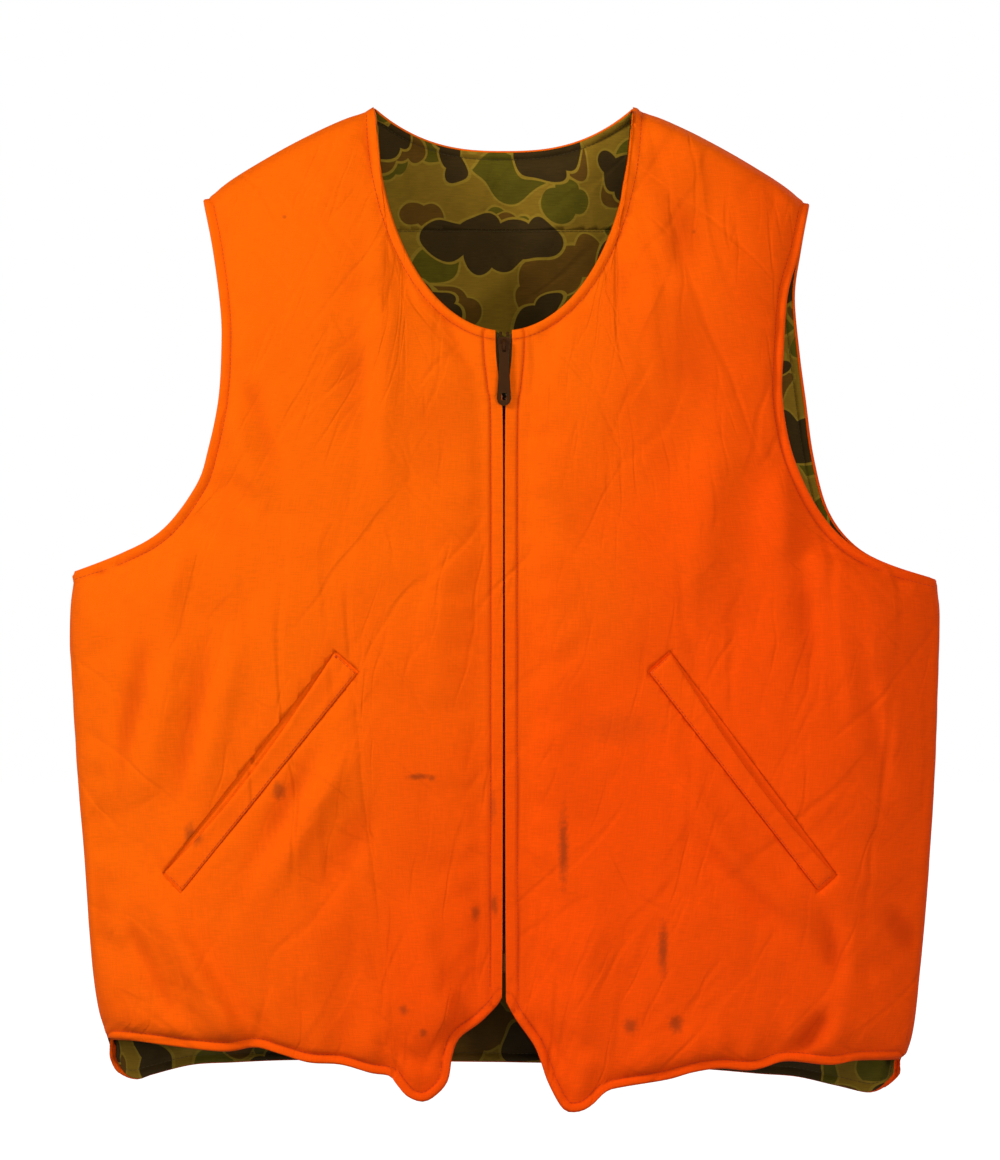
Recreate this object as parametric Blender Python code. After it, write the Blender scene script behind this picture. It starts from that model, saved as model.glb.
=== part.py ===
"""Reversible insulated waistcoat with a separating front zip, as it hangs from its shoulders.

Metres, +Z up. The origin is midway between the two neck points, at their height. The front faces
-Y, so the wearer's right side is at -X. Every wall is three cloths deep: a shell outside, padding
in the middle and a lining inside, each a solid of its own that follows the same nested surface.
"""
import math

import bmesh
import bpy
from mathutils import Vector

# Driving dimensions
NECK_HALF_WIDTH = 0.090
SHOULDER_HALF_WIDTH = 0.213
SHOULDER_SLOPE = 0.553
FRONT_NECK_DEPTH = 0.1575
BACK_NECK_DEPTH = 0.0294
BACK_NECK_SHAPE = 2.6
FRONT_DEPTH = 0.050
BACK_DEPTH = 0.045
RIDGE_RADIUS = 0.014
FULL_DEPTH_BELOW_RIDGE = 0.155
SIDE_ROUNDNESS = 3.0
RIDGE_REACH = 12
HINGE_X = 0.075
PLACKET_GAP = 0.0062
PADDING_STOP = 0.021
GAP = 0.0003

# Depth of each layer below the outer face: (outer side, inner side)
SHELL = (0.0, 0.0009)
FILL = (0.0015, 0.0058)
POCKET_BAG = (0.0068, 0.0076)
LINING = (0.0088, 0.0096)
WALL = LINING[1]

# Side seam from the hem up to the underarm, then the armhole up to the shoulder tip: (x, z)
SIDE_SEAM = [(0.280, -0.664), (0.290, -0.610), (0.299, -0.530), (0.305, -0.440), (0.3075, -0.370)]
ARMHOLE = [(0.3055, -0.328), (0.288, -0.321), (0.266, -0.312), (0.241, -0.297), (0.219, -0.272),
           (0.204, -0.235), (0.197, -0.185), (0.199, -0.140), (0.206, -0.100), (0.2105, -0.082)]
SHOULDER_TIP = (SHOULDER_HALF_WIDTH, -SHOULDER_SLOPE * (SHOULDER_HALF_WIDTH - NECK_HALF_WIDTH))
OUTER_EDGE = SIDE_SEAM + ARMHOLE + [SHOULDER_TIP]
UPPER_ARMHOLE_X = 0.219
YOKE_SEAM_ROW = len(OUTER_EDGE) - 3
CENTRE_ROWS = len(OUTER_EDGE) - 5

# Hems, from the centre to the side seam: (x, z)
FRONT_HEM = [(0.0, -0.624), (0.010, -0.637), (0.022, -0.660), (0.034, -0.688), (0.046, -0.701),
             (0.058, -0.698), (0.070, -0.686), (0.090, -0.681), (0.133, -0.673), (0.200, -0.667),
             (0.280, -0.664)]
BACK_HEM = [(0.0, -0.672), (0.150, -0.674), (0.220, -0.682), (0.258, -0.690), (0.274, -0.682),
            (0.280, -0.664)]

# Slanted welt pocket
MOUTH_TOP = (0.118, -0.381)
MOUTH_BOTTOM = (0.236, -0.540)
WELT_WIDTH = 0.0225
WELT_THICKNESS = 0.0016
WELT_STANDOFF = 0.0075
WELT_STEPS = 8
SLIT_WIDTH = 0.003
SLIT_END_MARGIN = 0.012
SLIT_ACROSS_SHARE = 0.6       # where the slit and the bag's top lie under the welt's width
BAG_END_MARGIN = 0.008
BAG_ACROSS_SHARE = 0.4
BAG_INNER_X = 0.082
BAG_BOTTOM_Z = -0.645
BAG_COLUMNS = 5
BAG_ROWS = 4

# Zip
TAPE_Y = -0.0475
TAPE_THICKNESS = 0.0008
TAPE_INNER_X = 0.0037
TAPE_OUTER_X = 0.0185
TAPE_RISE = 0.006             # the tape above the top of the chain
CHAIN_TOP = -0.166
CHAIN_BOTTOM = -0.606
TEETH_INNER_X = 0.0009
TEETH_THICKNESS = 0.0024
STOP_HEIGHT = 0.0035
STOP_SETBACK = 0.0006
STOP_BEVEL = 0.0004
SLIDER_TOP = -0.162
SLIDER_HEIGHT = 0.012
SLIDER_HALF_WIDTH = 0.0046
SLIDER_TAPER = 0.0004
SLIDER_PLATE = 0.0012
SLIDER_POST_HALF_WIDTH = 0.0005
SLIDER_FLANGE = 0.0006
BRIDGE_LENGTH = 0.0085
BRIDGE_WIDTH = 0.0020
BRIDGE_RISE = 0.0036
BRIDGE_WALL = 0.0010
BRIDGE_DROP = 0.0015
BRIDGE_SHOULDER = (0.0006, 0.7)           # a corner's setback from the foot, and its share of the rise
BRIDGE_CREST_SETBACK = 0.0022
BRIDGE_INNER_SETBACK = 0.0008
BOX_HEIGHT = 0.013
BOX_FLOOR = 0.0012
PIN_HEIGHT = 0.030
PULLER_LENGTH = 0.043
PULLER_THICKNESS = 0.0012
PULLER_HEAD_HALF_WIDTH = 0.0038
PULLER_TOE_HALF_WIDTH = 0.0050
PULLER_WAIST_HALF_WIDTH = 0.0032
PULLER_WAIST_DROP = 0.010
PULLER_SLOT = (0.0036, 0.0050, 0.0040)    # width, height, and distance above the toe
CROSS_BAR_HALF = 0.0006
GUIDE_REACH = 0.010           # how far the guides that cut holes stand out on each side

CENTRE_COLUMNS = 4
SIDE_COLUMNS = 6
BACK_STATIONS = [0.0, 0.14, 0.28, NECK_HALF_WIDTH / SHOULDER_HALF_WIDTH, 0.6, 0.8, 0.93, 1.0]

ORANGE = (0.95, 0.12, 0.004)
CAMO = (0.16, 0.10, 0.02)
WHITE = (0.85, 0.84, 0.80)
OLIVE = (0.07, 0.045, 0.015)
POCKETING = (0.55, 0.50, 0.40)


def remove_everything():
    """Start from an empty scene."""
    for item in list(bpy.data.objects):
        bpy.data.objects.remove(item, do_unlink=True)


def make_material(name, colour, roughness, metallic=0.0):
    """A plain Principled material."""
    material = bpy.data.materials.new(name)
    material.use_nodes = True
    shader = material.node_tree.nodes["Principled BSDF"]
    shader.inputs["Base Color"].default_value = (*colour, 1.0)
    shader.inputs["Roughness"].default_value = roughness
    shader.inputs["Metallic"].default_value = metallic
    return material


def read_outline(points, value, key=0):
    """The other coordinate of an outline at the given x (key 0) or z (key 1), by straight runs."""
    ordered = sorted(points, key=lambda point: point[key])
    if value <= ordered[0][key]:
        return ordered[0][1 - key]
    for low, high in zip(ordered, ordered[1:]):
        if value <= high[key]:
            share = (value - low[key]) / (high[key] - low[key])
            return low[1 - key] + share * (high[1 - key] - low[1 - key])
    return ordered[-1][1 - key]


def ridge_height(x):
    """The shoulder line: level between the neck points, then sloping to the shoulder tips."""
    return -SHOULDER_SLOPE * max(0.0, abs(x) - NECK_HALF_WIDTH)


def side_seam_x(z):
    """Half width of the body at a height; above the underarm it stays at the underarm's width."""
    return read_outline(SIDE_SEAM + ARMHOLE[:1], z, key=1)


def half_depth(x, z, inset, full_depth):
    """How far the surface that lies `inset` inside the outer face stands off the plane y = 0."""
    below = ridge_height(x) - inset - z
    across = min(1.0, abs(x) / (side_seam_x(z) - inset))
    if below <= 0.0 or across >= 1.0:
        return 0.0
    radius = RIDGE_RADIUS - inset
    round_share = 1.0 - min(1.0, below / radius)
    slope_share = min(1.0, below / FULL_DEPTH_BELOW_RIDGE)
    round_part = radius * math.sqrt(1.0 - round_share ** 2)
    slope_part = (full_depth - RIDGE_RADIUS) * slope_share * (2.0 - slope_share)
    return (round_part + slope_part) * math.sqrt(1.0 - across ** SIDE_ROUNDNESS)


def front_point(x, z, inset):
    """A point of the front wall, `inset` inside its outer face."""
    return Vector((x, -half_depth(x, z, inset, FRONT_DEPTH) - GAP / 2, z))


def back_point(x, z, inset):
    """A point of the back wall, `inset` inside its outer face."""
    return Vector((x, half_depth(x, z, inset, BACK_DEPTH) + GAP / 2, z))


def neck_x(z):
    """The front neckline is half an ellipse: its half width at a height."""
    return NECK_HALF_WIDTH * math.sqrt(max(0.0, 1.0 - (z / FRONT_NECK_DEPTH) ** 2))


def neck_z(x):
    """Height of the front neckline at a distance from the centre."""
    return -FRONT_NECK_DEPTH * math.sqrt(max(0.0, 1.0 - (x / NECK_HALF_WIDTH) ** 2))


def back_top(x):
    """Top edge of the back: the neckline between the neck points, the shoulder line outside them."""
    if abs(x) >= NECK_HALF_WIDTH:
        return ridge_height(x)
    return -BACK_NECK_DEPTH * (1.0 - (abs(x) / NECK_HALF_WIDTH) ** BACK_NECK_SHAPE)


def row_share(z):
    """Where a row of the outer edge lies between the hem corner, 0, and the shoulder tip, 1."""
    low = OUTER_EDGE[0][1]
    return (z - low) / (SHOULDER_TIP[1] - low)


def outer_edge_point(row, inset):
    """A point of the outer edge; on the side seam the inner layers turn back inside the outer ones."""
    x, z = OUTER_EDGE[row]
    turned = min(1.0, max(0.0, (x - UPPER_ARMHOLE_X) / (ARMHOLE[0][0] - UPPER_ARMHOLE_X)))
    return x - inset * (1.0 if row < len(SIDE_SEAM) else turned), z


def mix(first, second, share):
    """Straight mix of two numbers."""
    return first + (second - first) * share


def add_object(name, vertices, faces, material, smooth=True):
    """A mesh object made from vertices and faces, with its faces pointing out."""
    mesh = bpy.data.meshes.new(name)
    mesh.from_pydata([tuple(vertex) for vertex in vertices], [], faces)
    mesh.materials.append(material)
    form = bmesh.new()
    form.from_mesh(mesh)
    bmesh.ops.recalc_face_normals(form, faces=form.faces)
    form.to_mesh(mesh)
    form.free()
    if smooth:
        mesh.shade_smooth()
        mesh.set_sharp_from_angle(angle=math.radians(50))
    item = bpy.data.objects.new(name, mesh)
    bpy.context.collection.objects.link(item)
    return item


def add_slab(name, outer_grid, inner_grid, material):
    """A closed slab between two grids of points, given as rows of equal length."""
    rows = len(outer_grid)
    columns = len(outer_grid[0])
    vertices = [point for row in outer_grid for point in row]
    vertices += [point for row in inner_grid for point in row]
    below = rows * columns

    def corner(row, column):
        return row * columns + column

    faces = []
    for row in range(rows - 1):
        for column in range(columns - 1):
            first, second = corner(row, column), corner(row, column + 1)
            third, fourth = corner(row + 1, column + 1), corner(row + 1, column)
            for triangle in ([first, second, third], [first, third, fourth]):
                faces.append(triangle)
                faces.append([below + index for index in reversed(triangle)])
    edge = [corner(0, column) for column in range(columns)]
    edge += [corner(row, columns - 1) for row in range(1, rows)]
    edge += [corner(rows - 1, column) for column in reversed(range(columns - 1))]
    edge += [corner(row, 0) for row in reversed(range(1, rows - 1))]
    for first, second in zip(edge, edge[1:] + edge[:1]):
        faces.append([first, below + first, below + second, second])
    return add_object(name, vertices, faces, material)


def front_side_grid(side, inset):
    """Front wall from the fold line at HINGE_X out to the side seam and armhole."""
    grid = []
    for row in range(len(OUTER_EDGE)):
        outer_x, outer_z = outer_edge_point(row, inset)
        share = row_share(outer_z)
        inner_z = mix(read_outline(FRONT_HEM, HINGE_X), 0.0, share)
        inner_x = max(HINGE_X + GAP, neck_x(inner_z))
        if row == len(OUTER_EDGE) - 1:
            inner_x = NECK_HALF_WIDTH
        line = []
        for column in range(SIDE_COLUMNS + 1):
            across = column / SIDE_COLUMNS
            x = mix(inner_x, outer_x, across)
            hem_z = read_outline(FRONT_HEM, mix(HINGE_X, OUTER_EDGE[0][0], across))
            top_z = ridge_height(mix(NECK_HALF_WIDTH, SHOULDER_HALF_WIDTH, across))
            z = mix(hem_z, top_z, share) - inset * share ** RIDGE_REACH
            line.append(front_point(side * x, z, inset))
        grid.append(line)
    return grid


def front_centre_grid(side, inset, padded):
    """Front wall from the zip out to the fold line at HINGE_X, up to the neckline."""
    columns = [mix(PADDING_STOP, HINGE_X - GAP, column / CENTRE_COLUMNS)
               for column in range(CENTRE_COLUMNS + 1)]
    if not padded:
        columns.insert(0, PLACKET_GAP)
    grid = []
    for row in range(CENTRE_ROWS + 1):
        up = row / CENTRE_ROWS
        grid.append([front_point(side * x, mix(read_outline(FRONT_HEM, x), neck_z(x), up), inset)
                     for x in columns])
    return grid


def back_grid(inset):
    """Back wall, from its hem up to the neckline and shoulders."""
    stations = [-station for station in reversed(BACK_STATIONS[1:])] + BACK_STATIONS
    grid = []
    for row in range(len(OUTER_EDGE)):
        outer_x, outer_z = outer_edge_point(row, inset)
        share = row_share(outer_z)
        line = []
        for station in stations:
            hem_z = read_outline(BACK_HEM, abs(station) * OUTER_EDGE[0][0])
            top_z = back_top(station * SHOULDER_HALF_WIDTH)
            z = mix(hem_z, top_z, share) - inset * share ** RIDGE_REACH
            line.append(back_point(station * outer_x, z, inset))
        grid.append(line)
    return grid


def layer_grid(grid_at, inset):
    """A grid inside the wall, mixed from the wall's outer and inner faces so that layers never cross."""
    faces = zip(grid_at(0.0), grid_at(WALL))
    return [[outer.lerp(inner, inset / WALL) for outer, inner in zip(*lines)] for lines in faces]


def add_wall(name, grid_at, layer, material):
    """A layer of wall as a slab between its two depths."""
    return add_slab(name, layer_grid(grid_at, layer[0]), layer_grid(grid_at, layer[1]), material)


def add_lining_parts(material):
    """The back lining in two pieces that meet at the yoke seam across the shoulder blades."""
    outer = layer_grid(back_grid, LINING[0])
    inner = layer_grid(back_grid, LINING[1])
    for name, rows, lift in (("back_lining_lower", slice(0, YOKE_SEAM_ROW + 1), 0.0),
                             ("back_lining_yoke", slice(YOKE_SEAM_ROW, None), GAP)):
        parts = [[[point.copy() for point in line] for line in grid[rows]] for grid in (outer, inner)]
        for grid in parts:
            for point in (grid[0] if lift else []):
                point.z += lift
        add_slab(name, parts[0], parts[1], material)


def pocket_directions():
    """Unit directions along the pocket mouth, downwards, and across it towards the seam edge."""
    along = (Vector(MOUTH_BOTTOM) - Vector(MOUTH_TOP)).normalized()
    return along, Vector((along.y, -along.x))


def under_welt(end_margin, across_share):
    """Both ends of a line that runs along the mouth, at a share of the welt's width."""
    along, across = pocket_directions()
    aside = across * (WELT_WIDTH * across_share)
    return Vector(MOUTH_TOP) + along * end_margin + aside, Vector(MOUTH_BOTTOM) - along * end_margin + aside


def add_welt(name, side, material):
    """A stitched-down strip over the pocket mouth; its free edge bows away from the front."""
    grids = ([], [])
    for step in range(WELT_STEPS + 1):
        share = step / WELT_STEPS
        bow = math.sin(math.pi * share)
        lines = ([], [])
        for width_share in (0.0, 0.5, 1.0):
            top, bottom = under_welt(0.0, width_share)
            place = top.lerp(bottom, share)
            lift = 2 * GAP + WELT_STANDOFF * bow * (1.0 - width_share)
            base = front_point(side * place.x, place.y, 0.0)
            lines[0].append(base + Vector((0, -lift - WELT_THICKNESS, 0)))
            lines[1].append(base + Vector((0, -lift, 0)))
        grids[0].append(lines[0])
        grids[1].append(lines[1])
    return add_slab(name, grids[0], grids[1], material)


def add_slit_cutter(side):
    """A guide that cuts the pocket's slit through shell and padding, under the welt."""
    start, end = under_welt(SLIT_END_MARGIN, SLIT_ACROSS_SHARE)
    half = pocket_directions()[1] * (SLIT_WIDTH / 2)
    corners = [start - half, end - half, end + half, start + half]
    vertices = [Vector((side * point.x, y, point.y)) for y in (-FRONT_DEPTH - GUIDE_REACH, 0.0)
                for point in corners]
    faces = [(0, 1, 2, 3), (7, 6, 5, 4), (0, 4, 5, 1), (1, 5, 6, 2), (2, 6, 7, 3), (3, 7, 4, 0)]
    cutter = add_object(f"slit_guide_{'left' if side > 0 else 'right'}", vertices, faces,
                        bpy.data.materials["guide"], smooth=False)
    cutter.hide_render = True
    cutter.display_type = "WIRE"
    return cutter


def cut(item, cutter):
    """Cut a guide out of an object with an exact Boolean."""
    modifier = item.modifiers.new("pocket_slit", "BOOLEAN")
    modifier.operation = "DIFFERENCE"
    modifier.solver = "EXACT"
    modifier.object = cutter


def add_pocket_bag(name, side, material):
    """The empty pocket bag: two cloths lying together, hanging below the slit."""
    start, end = under_welt(BAG_END_MARGIN, BAG_ACROSS_SHARE)
    grids = []
    for inset in POCKET_BAG:
        grid = []
        for row in range(BAG_ROWS + 1):
            line = []
            for column in range(BAG_COLUMNS + 1):
                across_share = column / BAG_COLUMNS
                top = start.lerp(end, across_share)
                low = Vector((mix(BAG_INNER_X, end.x, across_share), BAG_BOTTOM_Z))
                place = top.lerp(low, row / BAG_ROWS)
                line.append(front_point(side * place.x, place.y, inset))
            grid.append(line)
        grids.append(grid)
    return add_slab(name, grids[0], grids[1], material)


def add_box(name, low, high, material, bevel=0.0):
    """A block between two corners, with an optional small bevel."""
    form = bmesh.new()
    bmesh.ops.create_cube(form, size=1.0)
    for vertex in form.verts:
        vertex.co = Vector([mix(low[axis], high[axis], vertex.co[axis] + 0.5) for axis in range(3)])
    if bevel:
        bmesh.ops.bevel(form, geom=list(form.edges), offset=bevel, segments=1, affect="EDGES")
    mesh = bpy.data.meshes.new(name)
    form.to_mesh(mesh)
    form.free()
    mesh.materials.append(material)
    item = bpy.data.objects.new(name, mesh)
    bpy.context.collection.objects.link(item)
    return item


def add_zip_side(name, side, tape, metal):
    """One half of the zip: its tape, its row of teeth and the stop at the top."""
    def strip(part, near_x, far_x, thickness, bottom, top, material, bevel=0.0):
        low_x, high_x = sorted((side * near_x, side * far_x))
        add_box(f"{name}_{part}", (low_x, TAPE_Y - thickness / 2, bottom),
                (high_x, TAPE_Y + thickness / 2, top), material, bevel)

    tape_bottom = CHAIN_BOTTOM if side < 0 else CHAIN_BOTTOM + 2 * BOX_FLOOR
    strip("zip_tape", TAPE_INNER_X, TAPE_OUTER_X, TAPE_THICKNESS, tape_bottom, CHAIN_TOP + TAPE_RISE, tape)
    teeth_bottom = CHAIN_BOTTOM + (BOX_HEIGHT if side < 0 else PIN_HEIGHT) + GAP
    teeth_top = CHAIN_TOP - STOP_HEIGHT
    strip("zip_teeth", TEETH_INNER_X, TAPE_INNER_X - GAP, TEETH_THICKNESS, teeth_bottom, teeth_top, metal)
    strip("top_stop", TEETH_INNER_X + STOP_SETBACK, TAPE_INNER_X - GAP, TEETH_THICKNESS, SLIDER_TOP + GAP,
          SLIDER_TOP + GAP + STOP_HEIGHT, metal, STOP_BEVEL)


def add_retainer(metal):
    """The box at the foot of the right half, open above for the pin of the left half."""
    room = TEETH_THICKNESS / 2 + GAP
    outer = room + SLIDER_PLATE
    box = add_box("retainer_box", (-TAPE_INNER_X + GAP, TAPE_Y - outer, CHAIN_BOTTOM),
                  (SLIDER_HALF_WIDTH - GAP, TAPE_Y + outer, CHAIN_BOTTOM + BOX_HEIGHT), metal)
    socket = add_box("retainer_socket_guide", (TEETH_INNER_X - GAP, TAPE_Y - room, CHAIN_BOTTOM + BOX_FLOOR),
                     (TAPE_OUTER_X, TAPE_Y + room, CHAIN_TOP), metal)
    socket.hide_render = True
    socket.display_type = "WIRE"
    cut(box, socket)
    add_box("insertion_pin", (TEETH_INNER_X, TAPE_Y - TEETH_THICKNESS / 2, CHAIN_BOTTOM + 2 * BOX_FLOOR),
            (TAPE_INNER_X - GAP, TAPE_Y + TEETH_THICKNESS / 2, CHAIN_BOTTOM + PIN_HEIGHT), metal)


def add_slider(metal):
    """Two plates joined by a post between the rows, with side flanges that keep the rows in."""
    inner = TEETH_THICKNESS / 2 + GAP
    outer = inner + SLIDER_PLATE
    shoulder = SLIDER_HALF_WIDTH
    lip = TAPE_THICKNESS / 2 + GAP
    section = [(-shoulder, -outer), (shoulder, -outer), (shoulder, -lip), (shoulder - SLIDER_FLANGE, -lip),
               (shoulder - SLIDER_FLANGE, -inner), (SLIDER_POST_HALF_WIDTH, -inner),
               (SLIDER_POST_HALF_WIDTH, inner), (shoulder - SLIDER_FLANGE, inner),
               (shoulder - SLIDER_FLANGE, lip), (shoulder, lip), (shoulder, outer), (-shoulder, outer)]
    section += [(-x, y) for x, y in reversed(section[2:10])]
    vertices = []
    for height, width in ((SLIDER_TOP - SLIDER_HEIGHT, shoulder - SLIDER_TAPER), (SLIDER_TOP, shoulder)):
        for x, y in section:
            wide = x * width / shoulder if abs(x) == shoulder else x
            vertices.append((wide, TAPE_Y + y, height))
    count = len(section)
    faces = [list(range(count)), list(range(count, 2 * count))]
    for index in range(count):
        following = (index + 1) % count
        faces.append([index, following, count + following, count + index])
    add_object("slider_body", vertices, faces, metal, smooth=False)


def bridge_foot_y():
    """Where the bridge stands on the slider's front plate."""
    return TAPE_Y - TEETH_THICKNESS / 2 - GAP - SLIDER_PLATE - GAP


def add_bridge(metal):
    """The bail on the slider's face that the puller hangs from."""
    middle = SLIDER_TOP - BRIDGE_DROP - BRIDGE_LENGTH / 2
    half = BRIDGE_LENGTH / 2
    setback, rise_share = BRIDGE_SHOULDER
    outside = [(half, 0.0), (half - setback, BRIDGE_RISE * rise_share), (half - BRIDGE_CREST_SETBACK, BRIDGE_RISE)]
    inside = [(half - BRIDGE_WALL, 0.0), (half - BRIDGE_WALL - BRIDGE_INNER_SETBACK, BRIDGE_RISE - BRIDGE_WALL)]
    over = outside + [(-along, rise) for along, rise in reversed(outside)]
    under = [(-along, rise) for along, rise in inside] + inside[::-1]
    profile = [(middle + along, bridge_foot_y() - rise) for along, rise in over + under]
    count = len(profile)
    vertices = [(x, y, z) for x in (-BRIDGE_WIDTH / 2, BRIDGE_WIDTH / 2) for z, y in profile]
    faces = [list(range(count)), list(range(count, 2 * count))]
    for index in range(count):
        following = (index + 1) % count
        faces.append([index, following, count + following, count + index])
    add_object("slider_bridge", vertices, faces, metal, smooth=False)


def puller_pivot():
    """Centre of the puller's cross bar, which lies under the bridge, halfway along it."""
    under_bridge = (BRIDGE_RISE - BRIDGE_WALL) / 2
    return Vector((0.0, bridge_foot_y() - under_bridge, SLIDER_TOP - BRIDGE_DROP - BRIDGE_LENGTH / 2))


def add_puller(metal):
    """A paddle with a slot at its toe and an eye at its head, whose top bar lies under the bridge."""
    pivot = puller_pivot()
    hinge = bpy.data.objects.new("puller_hinge", None)
    hinge.location = pivot
    bpy.context.collection.objects.link(hinge)
    toe = CROSS_BAR_HALF - PULLER_LENGTH
    outline = [(PULLER_HEAD_HALF_WIDTH, -CROSS_BAR_HALF), (PULLER_WAIST_HALF_WIDTH, CROSS_BAR_HALF),
               (-PULLER_WAIST_HALF_WIDTH, CROSS_BAR_HALF), (-PULLER_HEAD_HALF_WIDTH, -CROSS_BAR_HALF)]
    toe_centre = toe + PULLER_TOE_HALF_WIDTH
    outline.append((-PULLER_WAIST_HALF_WIDTH, -PULLER_WAIST_DROP))
    for angle in range(180, 361, 30):
        turn = math.radians(angle)
        outline.append((PULLER_TOE_HALF_WIDTH * math.cos(turn),
                        toe_centre + PULLER_TOE_HALF_WIDTH * math.sin(turn)))
    outline.append((PULLER_WAIST_HALF_WIDTH, -PULLER_WAIST_DROP))
    count = len(outline)
    half = PULLER_THICKNESS / 2
    vertices = [(x, y, z) for y in (-half, half) for x, z in outline]
    faces = [list(range(count)), list(range(count, 2 * count))]
    for index in range(count):
        following = (index + 1) % count
        faces.append([index, following, count + following, count + index])
    puller = add_object("zip_puller", vertices, faces, metal, smooth=False)
    puller.parent = hinge
    eye_low = -BRIDGE_LENGTH / 2 - 2 * GAP
    for name, half_width, low, high in (
            ("puller_eye_guide", BRIDGE_WIDTH / 2 + GAP, eye_low, -CROSS_BAR_HALF),
            ("puller_slot_guide", PULLER_SLOT[0] / 2, toe + PULLER_SLOT[2], toe + PULLER_SLOT[2] + PULLER_SLOT[1])):
        guide = add_box(name, (-half_width, -GUIDE_REACH, low), (half_width, GUIDE_REACH, high), metal)
        guide.parent = hinge
        guide.hide_render = True
        guide.display_type = "WIRE"
        cut(puller, guide)


def build_fronts(shell, padding, lining, pocketing):
    """Both fronts, each with a side part, a centre part, a pocket welt and a pocket bag."""
    for name, side in (("right", -1.0), ("left", 1.0)):
        cutter = add_slit_cutter(side)
        for part, layer, material in (("shell", SHELL, shell), ("fill", FILL, padding),
                                      ("lining", LINING, lining)):
            wall = add_wall(f"{name}_front_side_{part}",
                            lambda inset: front_side_grid(side, inset), layer, material)
            if part != "lining":
                cut(wall, cutter)
            add_wall(f"{name}_front_centre_{part}",
                     lambda inset: front_centre_grid(side, inset, part == "fill"), layer, material)
        add_welt(f"{name}_pocket_welt", side, shell)
        add_pocket_bag(f"{name}_pocket_bag", side, pocketing)


def build():
    """The whole waistcoat."""
    remove_everything()
    shell = make_material("shell_cloth", ORANGE, 0.85)
    lining = make_material("lining_cloth", CAMO, 0.85)
    padding = make_material("padding", WHITE, 0.95)
    pocketing = make_material("pocketing", POCKETING, 0.9)
    tape = make_material("zip_tape", OLIVE, 0.85)
    metal = make_material("zip_metal", OLIVE, 0.4, metallic=0.6)
    make_material("guide", WHITE, 0.5)
    add_wall("back_shell", back_grid, SHELL, shell)
    add_wall("back_fill", back_grid, FILL, padding)
    add_lining_parts(lining)
    build_fronts(shell, padding, lining, pocketing)
    add_zip_side("right", -1.0, tape, metal)
    add_zip_side("left", 1.0, tape, metal)
    add_retainer(metal)
    add_slider(metal)
    add_bridge(metal)
    add_puller(metal)


build()
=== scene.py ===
"""The looks of a reversible insulated vest: cloth, padding, seams, stitching and zip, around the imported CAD.

Everything is in metres in the CAD's frame: +Z up, the front faces -Y, the wearer's right is at -X.
"""
import math
from contextlib import contextmanager

import bmesh
import bpy
import numpy as np
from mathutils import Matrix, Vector
from mathutils.bvhtree import BVHTree


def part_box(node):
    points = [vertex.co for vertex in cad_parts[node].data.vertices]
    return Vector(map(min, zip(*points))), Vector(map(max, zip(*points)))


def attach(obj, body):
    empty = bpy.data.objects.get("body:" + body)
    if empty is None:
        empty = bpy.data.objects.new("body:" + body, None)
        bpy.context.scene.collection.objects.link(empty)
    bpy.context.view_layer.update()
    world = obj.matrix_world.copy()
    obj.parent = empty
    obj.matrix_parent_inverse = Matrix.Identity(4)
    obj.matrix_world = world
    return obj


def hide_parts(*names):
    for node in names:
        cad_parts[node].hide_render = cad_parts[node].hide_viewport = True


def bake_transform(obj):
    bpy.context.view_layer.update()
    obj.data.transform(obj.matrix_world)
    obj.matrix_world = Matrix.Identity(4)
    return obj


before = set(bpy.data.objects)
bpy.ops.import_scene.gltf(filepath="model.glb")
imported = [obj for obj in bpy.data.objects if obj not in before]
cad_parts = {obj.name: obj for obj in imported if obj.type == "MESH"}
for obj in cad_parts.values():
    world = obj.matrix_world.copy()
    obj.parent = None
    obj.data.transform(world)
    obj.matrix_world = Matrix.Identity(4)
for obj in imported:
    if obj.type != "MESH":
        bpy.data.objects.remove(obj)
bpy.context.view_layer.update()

# ---------------------------------------------------------------- dimensions, as in the CAD
FRONT_DEPTH = 0.050
BACK_DEPTH = 0.045
RIDGE_RADIUS = 0.014
DEPTH_REACH = 0.155
SIDE_ROUNDNESS = 3.0
RIDGE_LIFT = 0.0035          # the shoulders stand this much fuller than in the CAD
RIDGE_REACH = 0.03           # down to about here below the shoulder line
NECK_HALF_WIDTH = 0.090
FRONT_NECK_DEPTH = 0.1575
BACK_NECK_DEPTH = 0.0294
BACK_NECK_SHAPE = 2.6
MID_INSET = 0.0048           # the middle of the wall, below its outer face
FULL_HALF = 0.0046           # half thickness of the padded wall
EDGE_HALF = 0.0022           # half thickness of a turned edge
SEAM_HALF = 0.0012           # half thickness where the edge is topstitched
STITCH_IN = 0.0065           # topstitching, in from an edge
STITCH_DENT = 0.0005         # how much deeper each face lies along the topstitching
SEAM_PINCH = 0.0014          # and along the side and shoulder seams
PUFF_REACH = 0.009           # how fast the padding fills beyond the stitching
ZIP_PLANE_Y = -0.0475
SHOULDER_FULLNESS = 0.0035   # how far the shoulder line bows up between neck point and tip
SEAM_SHARE = 0.86            # from this share of the half width the wall turns in to the side seam

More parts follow.
